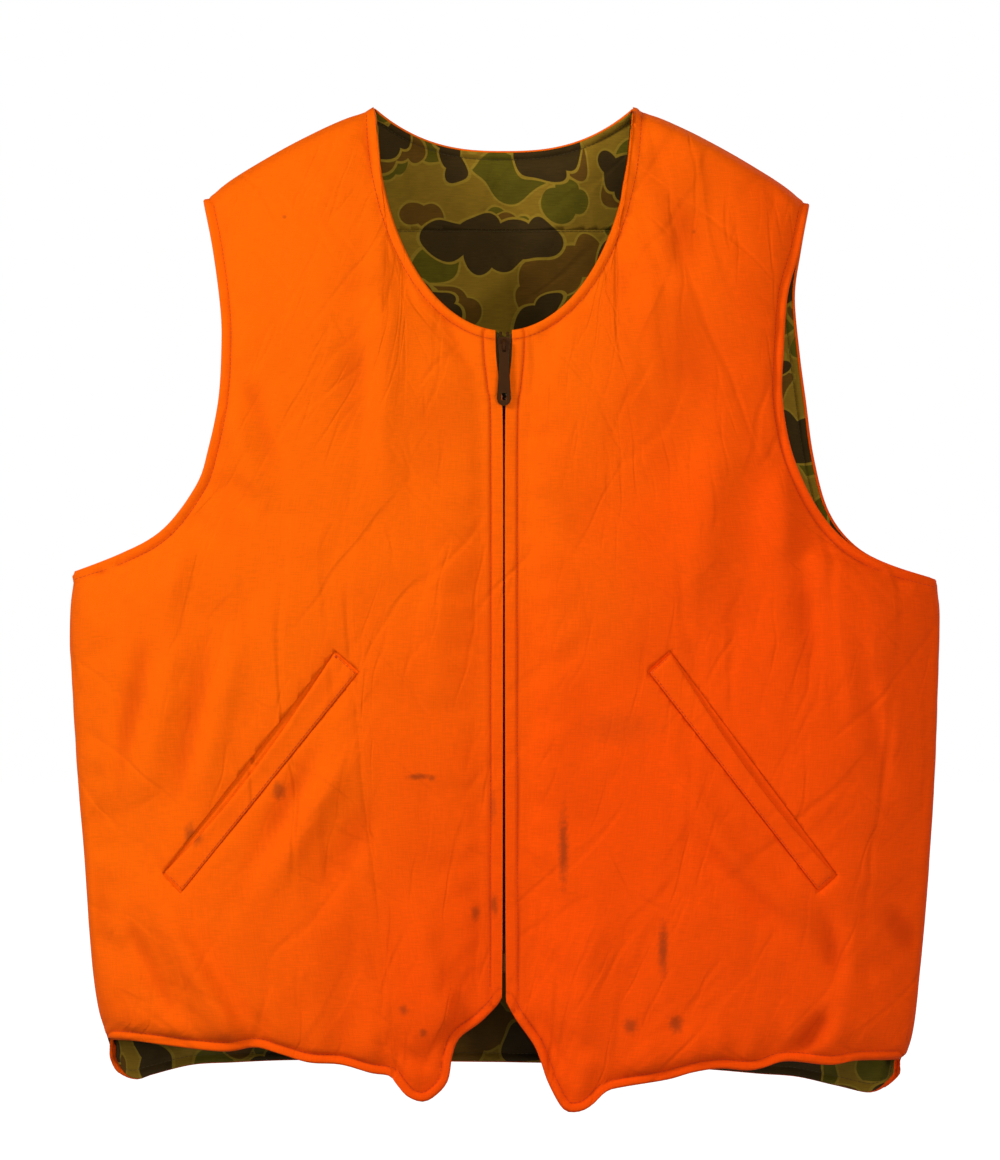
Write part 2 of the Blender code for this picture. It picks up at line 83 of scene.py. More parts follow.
# Outlines are (distance from the centre line, height). The two sides differ, as worn cloth does.
SIDE_SEAM = {
    "right": [(0.2793, -0.6545), (0.2842, -0.6468), (0.2912, -0.598), (0.2968, -0.521), (0.301, -0.472),
              (0.3059, -0.391), (0.3066, -0.374), (0.3058, -0.326)],
    "left": [(0.2807, -0.6685), (0.2877, -0.658), (0.2947, -0.598), (0.2996, -0.542), (0.3038, -0.479),
             (0.3062, -0.416), (0.308, -0.346), (0.3062, -0.331)],
}
FRONT_ARMHOLE = {
    "right": [(0.3058, -0.326), (0.2667, -0.3129), (0.238, -0.2961), (0.2149, -0.2655), (0.2065, -0.240),
              (0.1995, -0.2058), (0.1974, -0.1708), (0.1981, -0.1428), (0.2037, -0.1008), (0.2107, -0.0660)],
    "left": [(0.3062, -0.331), (0.2702, -0.3213), (0.2422, -0.3073), (0.2198, -0.2828), (0.2020, -0.2450),
             (0.1946, -0.2058), (0.1955, -0.1708), (0.1985, -0.1320), (0.2072, -0.1008), (0.2140, -0.0690)],
}
BACK_ARMHOLE = {
    "right": [*FRONT_ARMHOLE["right"][:5], (0.1985, -0.2058), (0.1960, -0.1708), (0.1970, -0.1428),
              (0.2030, -0.1008), (0.2107, -0.0660)],
    "left": [(0.3062, -0.331), (0.2722, -0.3213), (0.2466, -0.3073), (0.2280, -0.2828), (0.2178, -0.2450),
             (0.2124, -0.2058), (0.2078, -0.1708), (0.2045, -0.1320), (0.2085, -0.1008), (0.2140, -0.0690)],
}
FRONT_HEM = {
    "right": [(0.0014, -0.6237), (0.0056, -0.630), (0.0168, -0.6412), (0.0308, -0.6517), (0.0360, -0.6640),
              (0.0392, -0.6818), (0.0476, -0.692), (0.0567, -0.6965), (0.0672, -0.693), (0.0742, -0.6853),
              (0.0800, -0.6785), (0.0930, -0.6765), (0.1141, -0.6706), (0.1365, -0.6692), (0.1554, -0.6636),
              (0.1736, -0.6587), (0.1911, -0.6615), (0.2093, -0.6608), (0.2576, -0.6552), (0.2793, -0.6545)],
    "left": [(0.0014, -0.6265), (0.0084, -0.6391), (0.0203, -0.6559), (0.0252, -0.6671), (0.0308, -0.6832),
             (0.0413, -0.7015), (0.0518, -0.7035), (0.0609, -0.6993), (0.0714, -0.6895), (0.0833, -0.6862),
             (0.1141, -0.6811), (0.1316, -0.6762), (0.1505, -0.6734), (0.1687, -0.6748), (0.1799, -0.6734),
             (0.1974, -0.6685), (0.2282, -0.6713), (0.2471, -0.6685), (0.2807, -0.6685)],
}
BACK_HEM = {
    "right": [(0.0, -0.672), (0.10, -0.671), (0.15, -0.6705), (0.192, -0.672), (0.220, -0.6735),
              (0.248, -0.680), (0.262, -0.6832), (0.2735, -0.677), (0.2793, -0.6545)],
    "left": [(0.0, -0.672), (0.10, -0.674), (0.15, -0.6775), (0.1800, -0.680), (0.2070, -0.682),
             (0.2345, -0.688), (0.2600, -0.6925), (0.2750, -0.684), (0.2807, -0.6685)],
}
PLACKET = {
    "right": [(0.0014, -0.6237), (0.0010, -0.560), (0.0007, -0.400), (0.0008, -0.225), (0.0030, -0.196),
              (0.0053, -0.176), (0.0059, -0.1571)],
    "left": [(0.0014, -0.6265), (0.0010, -0.560), (0.0007, -0.400), (0.0008, -0.225), (0.0029, -0.198),
             (0.0051, -0.176), (0.0055, -0.1571)],
}
LINING_PLACKET_X = 0.0060    # the lining stops beside the slider
LINING_TOP_Z = -0.157        # and its inner edge ends at this height
SIDES = {"right": -1.0, "left": 1.0}


# ---------------------------------------------------------------- curves and grids
def smooth_line(points, count=400):
    """A Catmull-Rom curve through the points, sampled evenly along its length."""
    points = np.array(points, float)
    padded = np.vstack([2 * points[0] - points[1], points, 2 * points[-1] - points[-2]])
    samples = []
    for index in range(len(points) - 1):
        before, start, end, after = padded[index:index + 4]
        share = np.linspace(0, 1, 24, endpoint=False)[:, None]
        samples.append(0.5 * (2 * start + (end - before) * share
                              + (2 * before - 5 * start + 4 * end - after) * share ** 2
                              + (3 * start - before - 3 * end + after) * share ** 3))
    samples = np.vstack(samples + [points[-1:]])
    return even_line(samples, count)


def even_line(samples, count=400):
    """The same line with its points evenly spaced."""
    steps = np.hypot(*np.diff(samples, axis=0).T)
    travel = np.concatenate([[0.0], np.cumsum(steps)])
    wanted = np.linspace(0, travel[-1], count)
    return np.column_stack([np.interp(wanted, travel, samples[:, axis]) for axis in (0, 1)])


def line_length(line):
    """Length of a sampled line."""
    return float(np.hypot(*np.diff(line, axis=0).T).sum())


def at(line, share):
    """Points of an evenly sampled line at shares of its length."""
    places = np.linspace(0, 1, len(line))
    return np.stack([np.interp(share, places, line[:, axis]) for axis in (0, 1)], axis=-1)


def smooth_step(low, high, value):
    """0 below low, 1 above high, smooth between."""
    share = np.clip((value - low) / (high - low), 0.0, 1.0)
    return share * share * (3 - 2 * share)


def neck_arc(start_x):
    """Front neckline: a quarter of an ellipse from the zip up to the neck point."""
    start = math.asin(min(1.0, start_x / NECK_HALF_WIDTH))
    angle = np.linspace(start, math.pi / 2, 80)
    return np.column_stack([NECK_HALF_WIDTH * np.sin(angle), -FRONT_NECK_DEPTH * np.cos(angle)])


def back_neck_arc():
    """Back neckline, from the centre out to the neck point."""
    x = NECK_HALF_WIDTH * np.sin(np.linspace(0, math.pi / 2, 80))
    return np.column_stack([x, -BACK_NECK_DEPTH * (1 - (x / NECK_HALF_WIDTH) ** BACK_NECK_SHAPE)])


def shoulder_line(tip):
    """Shoulder line from the neck point to the tip, a little full in its middle."""
    share = np.linspace(0, 1, 60)
    x = NECK_HALF_WIDTH + (tip[0] - NECK_HALF_WIDTH) * share
    return np.column_stack([x, tip[1] * share + SHOULDER_FULLNESS * np.sin(math.pi * share)])


class Panel:
    """Half of the front or of the back: its outline, and points on it by (across, up) shares."""

    def __init__(self, name, is_front, is_lining=False):
        self.name = name
        self.sign = SIDES[name]
        self.is_front = is_front
        self.depth = FRONT_DEPTH if is_front else BACK_DEPTH
        seam = smooth_line(SIDE_SEAM[name], 300)
        armhole = smooth_line((FRONT_ARMHOLE if is_front else BACK_ARMHOLE)[name], 300)
        if is_front:
            self.placket = smooth_line(PLACKET[name])
            self.inner = self.placket
            self.hem = smooth_line(FRONT_HEM[name])
            if is_lining:
                start = np.searchsorted(self.hem[:20, 0], LINING_PLACKET_X)
                self.hem = even_line(self.hem[start:])
                self.inner = even_line(np.array([self.hem[0], (LINING_PLACKET_X, LINING_TOP_Z)]))
            neck = neck_arc(self.inner[-1, 0])
        else:
            self.inner = even_line(np.array([(0.0, BACK_HEM[name][0][1]), (0.0, -BACK_NECK_DEPTH)]))
            self.hem = smooth_line(BACK_HEM[name])
            neck = back_neck_arc()
        shoulder = shoulder_line(FRONT_ARMHOLE[name][-1])
        self.neck = even_line(neck)
        self.armhole = armhole
        self.outer = even_line(np.vstack([seam, armhole[1:]]), 600)
        self.top = even_line(np.vstack([neck, shoulder[1:]]), 600)
        self.underarm = line_length(seam) / (line_length(seam) + line_length(armhole))
        self.neck_point = line_length(neck) / (line_length(neck) + line_length(shoulder))
        self.shoulder = shoulder
        self.seam = seam

    def flat(self, u, v):
        """Where (across, up) lies in the plane of the panel: a Coons patch over its outline."""
        hem, top = at(self.hem, u), at(self.top, u)
        inner, outer = at(self.inner, v), at(self.outer, v)
        u, v = u[..., None], v[..., None]
        corners = ((1 - u) * (1 - v) * self.hem[0] + u * (1 - v) * self.hem[-1]
                   + (1 - u) * v * self.top[0] + u * v * self.top[-1])
        return (1 - v) * hem + v * top + (1 - u) * inner + u * outer - corners

    def seam_x(self, z):
        """Half width of the body at a height."""
        return np.interp(z, self.seam[:, 1], self.seam[:, 0])

    def ridge_z(self, x):
        """Height of the shoulder line, level inside the neck point."""
        return np.interp(x, self.shoulder[:, 0], self.shoulder[:, 1])

    def place(self, flat, inset, lift=0.0):
        """Points of the wall, inset below its outer face, with folds lifting it outwards."""
        x, z = flat[..., 0], flat[..., 1]
        half = self.seam_x(z)
        near_seam = smooth_step(SEAM_SHARE, 1.0, x / half)
        across = np.clip(x / (half - MID_INSET * (1 - near_seam)), 0.0, 1.0)
        below = np.clip(self.ridge_z(x) - z, 0.0, None)
        radius = RIDGE_RADIUS - inset
        round_part = radius * np.sqrt(1 - (1 - np.clip(below / RIDGE_RADIUS, 0, 1)) ** 2)
        slope = np.clip(below / DEPTH_REACH, 0, 1)
        depth = round_part + (self.depth - RIDGE_RADIUS) * slope * (2 - slope)
        bend = np.sqrt(1 - across ** SIDE_ROUNDNESS)
        y = depth * bend + lift * np.sqrt(bend) * smooth_step(0.0, RIDGE_REACH, below)
        x_moved = across * (half - inset)
        z_moved = z + (RIDGE_LIFT - inset) * np.exp(-below / RIDGE_REACH)
        front = -1.0 if self.is_front else 1.0
        return np.stack([self.sign * x_moved, front * (y + 0.0001), z_moved], axis=-1)


# ---------------------------------------------------------------- how a wall is cut at its edges
# Each edge is six stations, (distance in from the edge, height as a share of the half thickness).
# A turned edge is a round roll whose outer cloth reaches a little way round the inside.
FLAT_EDGE = [0.0, 0.0003, 0.0006, 0.0009, 0.0014, 0.0022]
SHELL_ROLL = [(0.0011, -0.86), (0.0003, -0.50), (0.0, 0.0), (0.0003, 0.50), (0.0011, 0.86), (0.0022, 1.0)]
LINING_ROLL = [(0.0013, -0.86), (0.0016, -0.92), (0.0019, -0.96), (0.0022, -0.99), (0.0025, -1.0),
               (0.0030, -1.0)]
BACK_SHELL_ROLL = [(0.0005, -0.62), (0.0001, -0.34), *SHELL_ROLL[2:]]
BACK_LINING_ROLL = [(0.0006, -0.72), (0.0010, -0.83), (0.0014, -0.91), (0.0018, -0.96), (0.0023, -1.0),
                    (0.0030, -1.0)]
EDGE_SECTIONS = {
    "shell": {"front": SHELL_ROLL, "back": BACK_SHELL_ROLL, "seam": [(gap, 1.0) for gap in FLAT_EDGE]},
    "lining": {"front": LINING_ROLL, "back": BACK_LINING_ROLL, "seam": [(gap, -1.0) for gap in FLAT_EDGE]},
}
NEAR_EDGE = [0.0034, 0.0045, 0.0053, 0.0060, 0.0065, 0.0070, 0.0077, 0.0088, 0.0104, 0.0128, 0.0158]
ACROSS_SPACING = 0.0034
UP_SPACING = 0.0040
PANEL_WIDTH = 0.285          # round sizes that turn distances into shares of a panel
PANEL_HEIGHT = 0.60
PLACKET_STITCH = 0.0086      # topstitching beside the zip, in from the placket's edge
FLAP_OUTER = 0.0006          # inset of the orange cloth where it lies flat over the zip's tape
FLAP_INNER = 0.0044          # and of the lining behind the tape
FLAP_WIDTH = 0.0115          # the cloths lie flat as far in as this
PUFF_FROM_PLACKET = 0.030    # and the wall is full from here on


def stations(length, spacing, start, end):
    """Distances along a strip and their height shares: an edge, even steps, and the other edge."""
    near = np.array([distance for distance, _ in start] + NEAR_EDGE)
    far = np.array([distance for distance, _ in end] + NEAR_EDGE)
    count = max(4, round((length - near[-1] - far[-1]) / spacing))
    middle = np.linspace(near[-1], length - far[-1], count + 1)[1:-1]
    plain = np.full(len(NEAR_EDGE) + len(middle), start[-1][1])
    heights = np.concatenate([[height for _, height in start], plain,
                              np.full(len(NEAR_EDGE), end[-1][1]), [height for _, height in reversed(end)]])
    return np.concatenate([near, middle, length - far[::-1]]), heights


def edge_shares(distance, nominal, length):
    """Shares along strips of other lengths for distances on a nominal one, unchanged near both ends."""
    margin = NEAR_EDGE[-1]
    middle = margin + (distance - margin) * (length - 2 * margin) / (nominal - 2 * margin)
    late = distance > nominal - margin
    return np.where(distance < margin, distance, np.where(late, length - nominal + distance, middle)) / length


def distance_to(line, flat):
    """Distance from each flat point to a sampled line."""
    points = flat.reshape(-1, 2)
    nearest = np.full(len(points), 1e9)
    steps = np.diff(line, axis=0)
    for start, step in zip(line[:-1], steps):
        offset = points - start
        share = np.clip(offset @ step / (step @ step), 0, 1)
        nearest = np.minimum(nearest, np.hypot(*(offset - share[:, None] * step).T))
    return nearest.reshape(flat.shape[:-1])


class Grid:
    """A panel's sheet as a grid: flat places, height shares in the wall and distances to the edges."""

    extra_inset = 0.0

    def __init__(self, panel, layer):
        sections = EDGE_SECTIONS[layer]
        seam, turned = sections["seam"], sections["front" if panel.is_front else "back"]
        u_turned, p_turned = stations(PANEL_WIDTH, ACROSS_SPACING, seam, turned)
        u_seam, p_seam = stations(PANEL_WIDTH, ACROSS_SPACING, seam, seam)
        v_turned, q_turned = stations(PANEL_HEIGHT, UP_SPACING, turned, turned)
        v_seam, q_seam = stations(PANEL_HEIGHT, UP_SPACING, turned, seam)
        u_even, v_even = u_seam / PANEL_WIDTH, v_seam / PANEL_HEIGHT
        open_side = smooth_step(panel.underarm - 0.004, panel.underarm + 0.012, v_even)[:, None]
        if not panel.is_front:
            open_side = np.maximum(open_side, 1 - smooth_step(0.010, 0.030, v_even)[:, None])
        neck = 1 - smooth_step(panel.neck_point - 0.012, panel.neck_point + 0.004, u_even)[None, :]
        row_length = np.hypot(*(at(panel.outer, v_even) - at(panel.inner, v_even)).T)[:, None]
        column_length = np.hypot(*(at(panel.top, u_even) - at(panel.hem, u_even)).T)[None, :]
        self.across = edge_shares(u_seam + (u_turned - u_seam) * open_side, PANEL_WIDTH, row_length)
        height = v_seam[:, None] + (v_turned - v_seam)[:, None] * neck
        self.up = edge_shares(height, PANEL_HEIGHT, column_length)
        side_share = p_seam + (p_turned - p_seam) * open_side
        end_share = q_seam[:, None] + (q_turned - q_seam)[:, None] * neck
        full = 1.0 if layer == "shell" else -1.0
        off = np.hypot(1 - full * side_share, 1 - full * end_share)
        self.share = full * np.clip(1 - off, -0.86, 1.0)
        self.measure(panel)

    def measure(self, panel):
        """Where the grid's points lie on the panel, and how far from its edges and seams."""
        self.panel = panel
        self.flat = panel.flat(self.across, self.up)
        self.find_edges()

    def gap(self, flat):
        """Distance from flat places to the panel's nearest open edge."""
        free = (self.panel.hem, self.panel.neck, self.panel.armhole)
        return np.min([distance_to(line[::4], flat) for line in free], axis=0)

    def find_edges(self):
        """How far each point is from the open edges, the seams and the placket."""
        panel = self.panel
        self.edge = self.gap(self.flat)
        self.seam = np.minimum(distance_to(panel.seam[::4], self.flat),
                               distance_to(panel.shoulder[::4], self.flat))
        self.placket = np.full(self.edge.shape, 1.0)
        if panel.is_front:
            self.placket = distance_to(panel.placket[::4], self.flat)

    def draw_in(self, margin):
        """Move the points away from the open edges until none is nearer than the margin."""
        steps = 0.001 * np.eye(2)
        away = np.stack([self.gap(self.flat + step) - self.gap(self.flat - step) for step in steps], axis=-1)
        away /= np.maximum(np.linalg.norm(away, axis=-1, keepdims=True), 1e-9)
        self.flat = self.flat + away * np.clip(margin - self.edge, 0, None)[..., None]
        self.find_edges()


class EvenGrid(Grid):
    """A coarse grid inside the edges, all at one share of the wall's half thickness."""

    def __init__(self, panel, share, spacing, margin, inner_margin):
        across = np.linspace(inner_margin / PANEL_WIDTH, 1 - margin / PANEL_WIDTH,
                             round(PANEL_WIDTH / spacing))
        up = np.linspace(margin / PANEL_HEIGHT, 1 - margin / PANEL_HEIGHT, round(PANEL_HEIGHT / spacing))
        self.across, self.up = np.meshgrid(across, up)
        self.share = np.full(self.across.shape, share)
        self.measure(panel)


# ---------------------------------------------------------------- folds and thickness
# A fold is a line on the front, from one (x, z) to another, its height and its half width.
# Here x is signed: the wearer's right is negative. A negative height is a valley.
FOLD_STRENGTH = 1.55
LINING_EASE = 0.25           # half of the share by which the lining's folds are flatter
# width of the painted shade along each line of topstitching
SHADE_LINE_WIDTH = 0.0009
VALLEY_SHADE = 0.70           # how much painted shade is put in the folds' valleys
FRONT_FOLDS = [
    ((-0.199, -0.190), (-0.162, -0.292), 0.0036, 0.013),
    ((-0.181, -0.185), (-0.150, -0.275), -0.0020, 0.010),
    ((-0.081, -0.030), (-0.083, -0.280), 0.0028, 0.011),
    ((-0.101, -0.060), (-0.104, -0.250), -0.0016, 0.014),
    ((-0.220, -0.292), (-0.240, -0.380), 0.0040, 0.011),
    ((-0.222, -0.360), (-0.252, -0.500), 0.0040, 0.011),
    ((-0.240, -0.340), (-0.268, -0.500), -0.0030, 0.010),
    ((-0.184, -0.370), (-0.213, -0.496), 0.0036, 0.010),
    ((-0.198, -0.370), (-0.226, -0.490), -0.0024, 0.009),
    ((-0.104, -0.446), (-0.166, -0.552), 0.0042, 0.010),
    ((-0.122, -0.440), (-0.184, -0.556), -0.0026, 0.009),
    ((-0.080, -0.470), (-0.140, -0.575), -0.0022, 0.012),
    ((-0.244, -0.538), (-0.182, -0.660), 0.0052, 0.011),
    ((-0.228, -0.556), (-0.168, -0.655), -0.0036, 0.0075),
    ((-0.262, -0.560), (-0.212, -0.655), -0.0034, 0.0085),
    ((-0.150, -0.520), (-0.120, -0.640), 0.0022, 0.013),
    ((-0.060, -0.560), (-0.040, -0.660), 0.0030, 0.010),
    ((-0.040, -0.300), (-0.046, -0.420), 0.0016, 0.012),
    ((0.095, -0.075), (0.106, -0.162), 0.0024, 0.011),
    ((0.118, -0.060), (0.130, -0.200), -0.0014, 0.014),
    ((0.150, -0.200), (0.128, -0.372), 0.0030, 0.015),
    ((0.172, -0.210), (0.168, -0.372), -0.0018, 0.014),
    ((0.190, -0.245), (0.196, -0.330), 0.0024, 0.012),
    ((0.203, -0.290), (0.212, -0.410), -0.0028, 0.0075),
    ((0.231, -0.305), (0.246, -0.420), 0.0026, 0.013),
    ((0.236, -0.330), (0.268, -0.500), -0.0026, 0.009),
    ((0.252, -0.330), (0.283, -0.500), 0.0030, 0.012),
    ((0.108, -0.446), (0.166, -0.548), 0.0034, 0.010),
    ((0.137, -0.510), (0.210, -0.574), 0.0036, 0.010),
    ((0.124, -0.506), (0.200, -0.584), -0.0036, 0.0075),
    ((0.219, -0.560), (0.231, -0.612), -0.0030, 0.007),
    ((0.195, -0.672), (0.226, -0.630), -0.0036, 0.0065),
    ((0.262, -0.560), (0.290, -0.592), -0.0030, 0.010),
    ((0.060, -0.540), (0.048, -0.690), 0.0026, 0.012),
    ((0.255, -0.560), (0.225, -0.655), 0.0026, 0.012),
    ((0.035, -0.300), (0.030, -0.470), 0.0014, 0.012),
]
BACK_FOLDS = [
    ((-0.110, -0.110), (-0.120, -0.420), 0.0030, 0.016),
    ((0.105, -0.120), (0.118, -0.400), 0.0030, 0.015),
    ((0.010, -0.160), (-0.006, -0.520), 0.0024, 0.020),
    ((-0.200, -0.300), (-0.236, -0.520), 0.0034, 0.014),
    ((0.205, -0.290), (0.240, -0.500), 0.0034, 0.014),
    ((-0.060, -0.430), (-0.084, -0.640), 0.0028, 0.014),
    ((0.070, -0.450), (0.082, -0.650), 0.0030, 0.013),
    ((-0.170, -0.540), (-0.184, -0.660), 0.0028, 0.011),
    ((0.165, -0.530), (0.175, -0.665), 0.0028, 0.012),
    ((0.150, -0.300), (0.160, -0.380), -0.0018, 0.014),
]
HEM_PUCKERS = [0.034, 0.062, 0.096, 0.128, 0.151, 0.176, 0.197, 0.224, 0.249]
PUCKER_HEIGHT = 0.0024
PUCKER_WIDTH = 0.0075
PUCKER_UP = 0.017            # a pucker stands highest this far above the hem
PUCKER_REACH = 0.016
UNEVENNESS = [(0.0026, 0.085, 5), (0.0012, 0.034, 6), (0.00045, 0.015, 7)]   # height, size and seed

# Pocket welts: the seam edge from top to bottom, then the free edge, as (distance from the centre, z).
WELTS = {
    "right": [(0.1010, -0.3960), (0.2260, -0.5510), (0.1180, -0.3810), (0.2390, -0.5370)],
    "left": [(0.1000, -0.3955), (0.2200, -0.5500), (0.1160, -0.3810), (0.2330, -0.5380)],
}
WELT_SAG = 0.0064            # how far a welt's free edge falls away from the mouth's own edge
FACING_DEPTH = 0.0019        # the facing seen in the open mouth, below the orange cloth
FACING_SAG = 0.0010


def random_field(points, size, seed):
    """Smooth noise from -1 to 1 over the plane, with bumps about `size` across."""
    lattice = np.random.default_rng(seed).uniform(-1, 1, (64, 64))
    place = points / size + 31.5
    cell = np.floor(place).astype(int)
    share = place - cell
    share = share * share * (3 - 2 * share)
    column, row = cell[..., 0] % 63, cell[..., 1] % 63
    low = lattice[row, column] * (1 - share[..., 0]) + lattice[row, column + 1] * share[..., 0]
    high = lattice[row + 1, column] * (1 - share[..., 0]) + lattice[row + 1, column + 1] * share[..., 0]
    return low * (1 - share[..., 1]) + high * share[..., 1]


def fold_height(points, start, end, height, width):
    """A fold's height: round across its line, fading out at both ends."""
    start, step = np.array(start), np.subtract(end, start)
    share = (points - start) @ step / (step @ step)
    gap = np.hypot(*np.moveaxis(points - start - np.clip(share, 0, 1)[..., None] * step, -1, 0))
    ends = smooth_step(-0.12, 0.35, share) * smooth_step(1.12, 0.65, share)
    return height * np.exp(-(gap / width) ** 2) * ends


def welt_line(name, share, first):
    """Points along a mouth's seam edge (first 0) or its open edge (first 2)."""
    start, end = np.array(WELTS[name][first]), np.array(WELTS[name][first + 1])
    return start + (end - start) * np.asarray(share, float)[..., None]


def window_size(name):
    """Length and width of a pocket's window."""
    first, last, across, _ = WELTS[name]
    return math.dist(first, last), math.dist(first, across)


def mouth_corners(name):
    """The corners of a pocket's window, in order round it."""
    return [np.array(WELTS[name][index]) for index in (0, 1, 3, 2)]


def lift_of(grid):
    """How far the folds lift each point of a grid out of the plain wall."""
    panel, flat = grid.panel, grid.flat
    signed = flat * np.array([panel.sign, 1.0])
    lift = sum(height * random_field(signed, size, seed) for height, size, seed in UNEVENNESS)
    folds = FRONT_FOLDS if panel.is_front else BACK_FOLDS
    for start, end, height, width in folds:
        lift += fold_height(signed, start, end, FOLD_STRENGTH * height, width)
    hem_gap = distance_to(panel.hem[::4], flat)
    for x in HEM_PUCKERS:
        sway = 0.006 * math.sin(60 * x + panel.sign)
        pucker = np.exp(-((flat[..., 0] - x - sway) / PUCKER_WIDTH) ** 2)
        lift += PUCKER_HEIGHT * pucker * np.exp(-((hem_gap - PUCKER_UP) / PUCKER_REACH) ** 2)
    lift *= smooth_step(0.0, 0.016, grid.edge) * smooth_step(0.0, 0.012, grid.seam)
    if panel.is_front:
        lift *= smooth_step(0.006, PUFF_FROM_PLACKET, grid.placket)
    return lift


def half_thickness(grid):
    """Half the wall: a roll at a turned edge, thin at the topstitching, full beyond it."""
    roll = EDGE_HALF + (SEAM_HALF - EDGE_HALF) * smooth_step(0.003, STITCH_IN, grid.edge)
    puff = 1 - np.exp(-np.clip(grid.edge - STITCH_IN, 0, None) / PUFF_REACH)
    body = np.where(grid.edge < STITCH_IN, roll, SEAM_HALF + (FULL_HALF - SEAM_HALF) * puff)
    dent = STITCH_DENT * np.exp(-((grid.edge - STITCH_IN) / 0.0010) ** 2)
    pinch = SEAM_PINCH * np.exp(-(grid.seam / 0.0035) ** 2)
    return body - dent - pinch * smooth_step(0.004, 0.014, grid.edge)


def inset_of(grid):
    """Depth of a grid's points below the wall's outer face, closing on the zip's tape at the placket."""
    plain = MID_INSET - grid.share * half_thickness(grid)
    if not grid.panel.is_front:
        return plain
    stitched = np.exp(-((grid.placket - PLACKET_STITCH) / 0.0012) ** 2)
    outer = FLAP_OUTER + 0.0010 * stitched
    inner = FLAP_INNER - 0.0005 * stitched
    closed = inner + (outer - inner) * (1 + grid.share) / 2
    flap = 1 - smooth_step(FLAP_WIDTH, PUFF_FROM_PLACKET, grid.placket)
    return plain + (closed - plain) * flap


# ---------------------------------------------------------------- point numbers and faces
def numbered(shape):
    """Point numbers of a grid, row by row."""
    return np.arange(shape[0] * shape[1]).reshape(shape[:2])


def grid_faces(number, flip):
    """Quads over a grid of point numbers, facing out or in."""
    a, b, c, d = number[:-1, :-1], number[:-1, 1:], number[1:, 1:], number[1:, :-1]
    corners = (a, d, c, b) if flip else (a, b, c, d)
    return np.stack(corners, axis=-1).reshape(-1, 4).tolist()


def pillow_faces(rows, columns, flip):
    """Quads over an outer grid, an inner grid numbered after it, and the rim between them."""
    number = numbered((rows, columns))
    count = number.size
    rim = np.concatenate([number[0, :-1], number[:-1, -1], number[-1, :0:-1], number[:0:-1, 0]])
    around = [(b, a, a + count, b + count) for a, b in zip(rim.tolist(), np.roll(rim, -1).tolist())]
    if flip:
        around = [face[::-1] for face in around]
    return grid_faces(number, flip) + grid_faces(number + count, not flip) + around


def tube_faces(number, flip):
    """Quads round a tube of point numbers, ring by ring, and its two closed ends."""
    around = grid_faces(np.concatenate([number, number[:, :1]], axis=1), flip)
    first, last = number[0].tolist(), number[-1].tolist()
    return around + ([first, last[::-1]] if flip else [first[::-1], last])


def is_flipped(panel, layer):
    """Whether a grid's quads must be turned round for its faces to look away from the padding."""
    looks_out = (panel.sign > 0) == panel.is_front
    return looks_out != (layer == "shell")


# ---------------------------------------------------------------- cloth simulation of the padded wall
SIM_SPACING = 0.0065
SIM_MARGIN = 0.003           # the simulated cloths stop this far in from every edge
SIM_FRAMES = 20
SIM_LIMIT = 0.0055           # the most that the simulation may move a point
HELD_NEAR_EDGE = 0.0075
HELD_NEAR_PLACKET = 0.019
HELD_NEAR_SEAM = 0.004
HELD_ELSEWHERE = 0.05
CLOTH_SETTINGS = {
    "quality": 5, "mass": 0.2, "tension_stiffness": 12, "compression_stiffness": 12, "shear_stiffness": 4,
    "bending_stiffness": 0.08, "vertex_group_mass": "held", "pin_stiffness": 1.0, "use_pressure": True,
    "uniform_pressure_force": 4.0, "shrink_min": -0.022,
}


def simulate_wall(panel, lining_panel):
    """Blow up the padded wall as two stitched cloths; return how far each cloth's points move."""
    grids = [EvenGrid(each, share, SIM_SPACING, SIM_MARGIN, SIM_MARGIN)
             for each, share in ((panel, 1.0), (lining_panel, -1.0))]
    rows, columns = grids[0].flat.shape[:2]
    rest = np.stack([panel.place(grid.flat, inset_of(grid), lift_of(grid)) for grid in grids])
    faces = pillow_faces(rows, columns, is_flipped(panel, "shell"))
    pillow = linked("wall_sim", new_mesh("wall_sim", rest.reshape(-1, 3), faces))
    held = np.zeros((2, rows, columns))
    for layer, grid in enumerate(grids):
        held[layer] = np.where((grid.edge < HELD_NEAR_EDGE) | (grid.placket < HELD_NEAR_PLACKET)
                               | (grid.seam < HELD_NEAR_SEAM), 1.0, HELD_ELSEWHERE)
    held[:, [0, -1]] = 1.0
    held[:, :, [0, -1]] = 1.0
    group = pillow.vertex_groups.new(name="held")
    for weight in (HELD_ELSEWHERE, 1.0):
        group.add(np.flatnonzero(held.ravel() == weight).tolist(), weight, "REPLACE")
    cloth = pillow.modifiers.new("Cloth", "CLOTH")
    for key, value in CLOTH_SETTINGS.items():
        setattr(cloth.settings, key, value)
    cloth.settings.effector_weights.gravity = 0.0
    cloth.collision_settings.use_collision = False
    for step in range(1, SIM_FRAMES + 1):
        bpy.context.scene.frame_set(step)
    result = pillow.evaluated_get(bpy.context.evaluated_depsgraph_get()).to_mesh()
    moved = np.empty(len(result.vertices) * 3)
    result.vertices.foreach_get("co", moved)
    bpy.context.scene.frame_set(1)
    bpy.data.objects.remove(pillow)
    shift = moved.reshape(2, rows, columns, 3) - rest
    distance = np.linalg.norm(shift, axis=-1, keepdims=True)
    return shift * (SIM_LIMIT * np.tanh(distance / SIM_LIMIT) / np.maximum(distance, 1e-9))


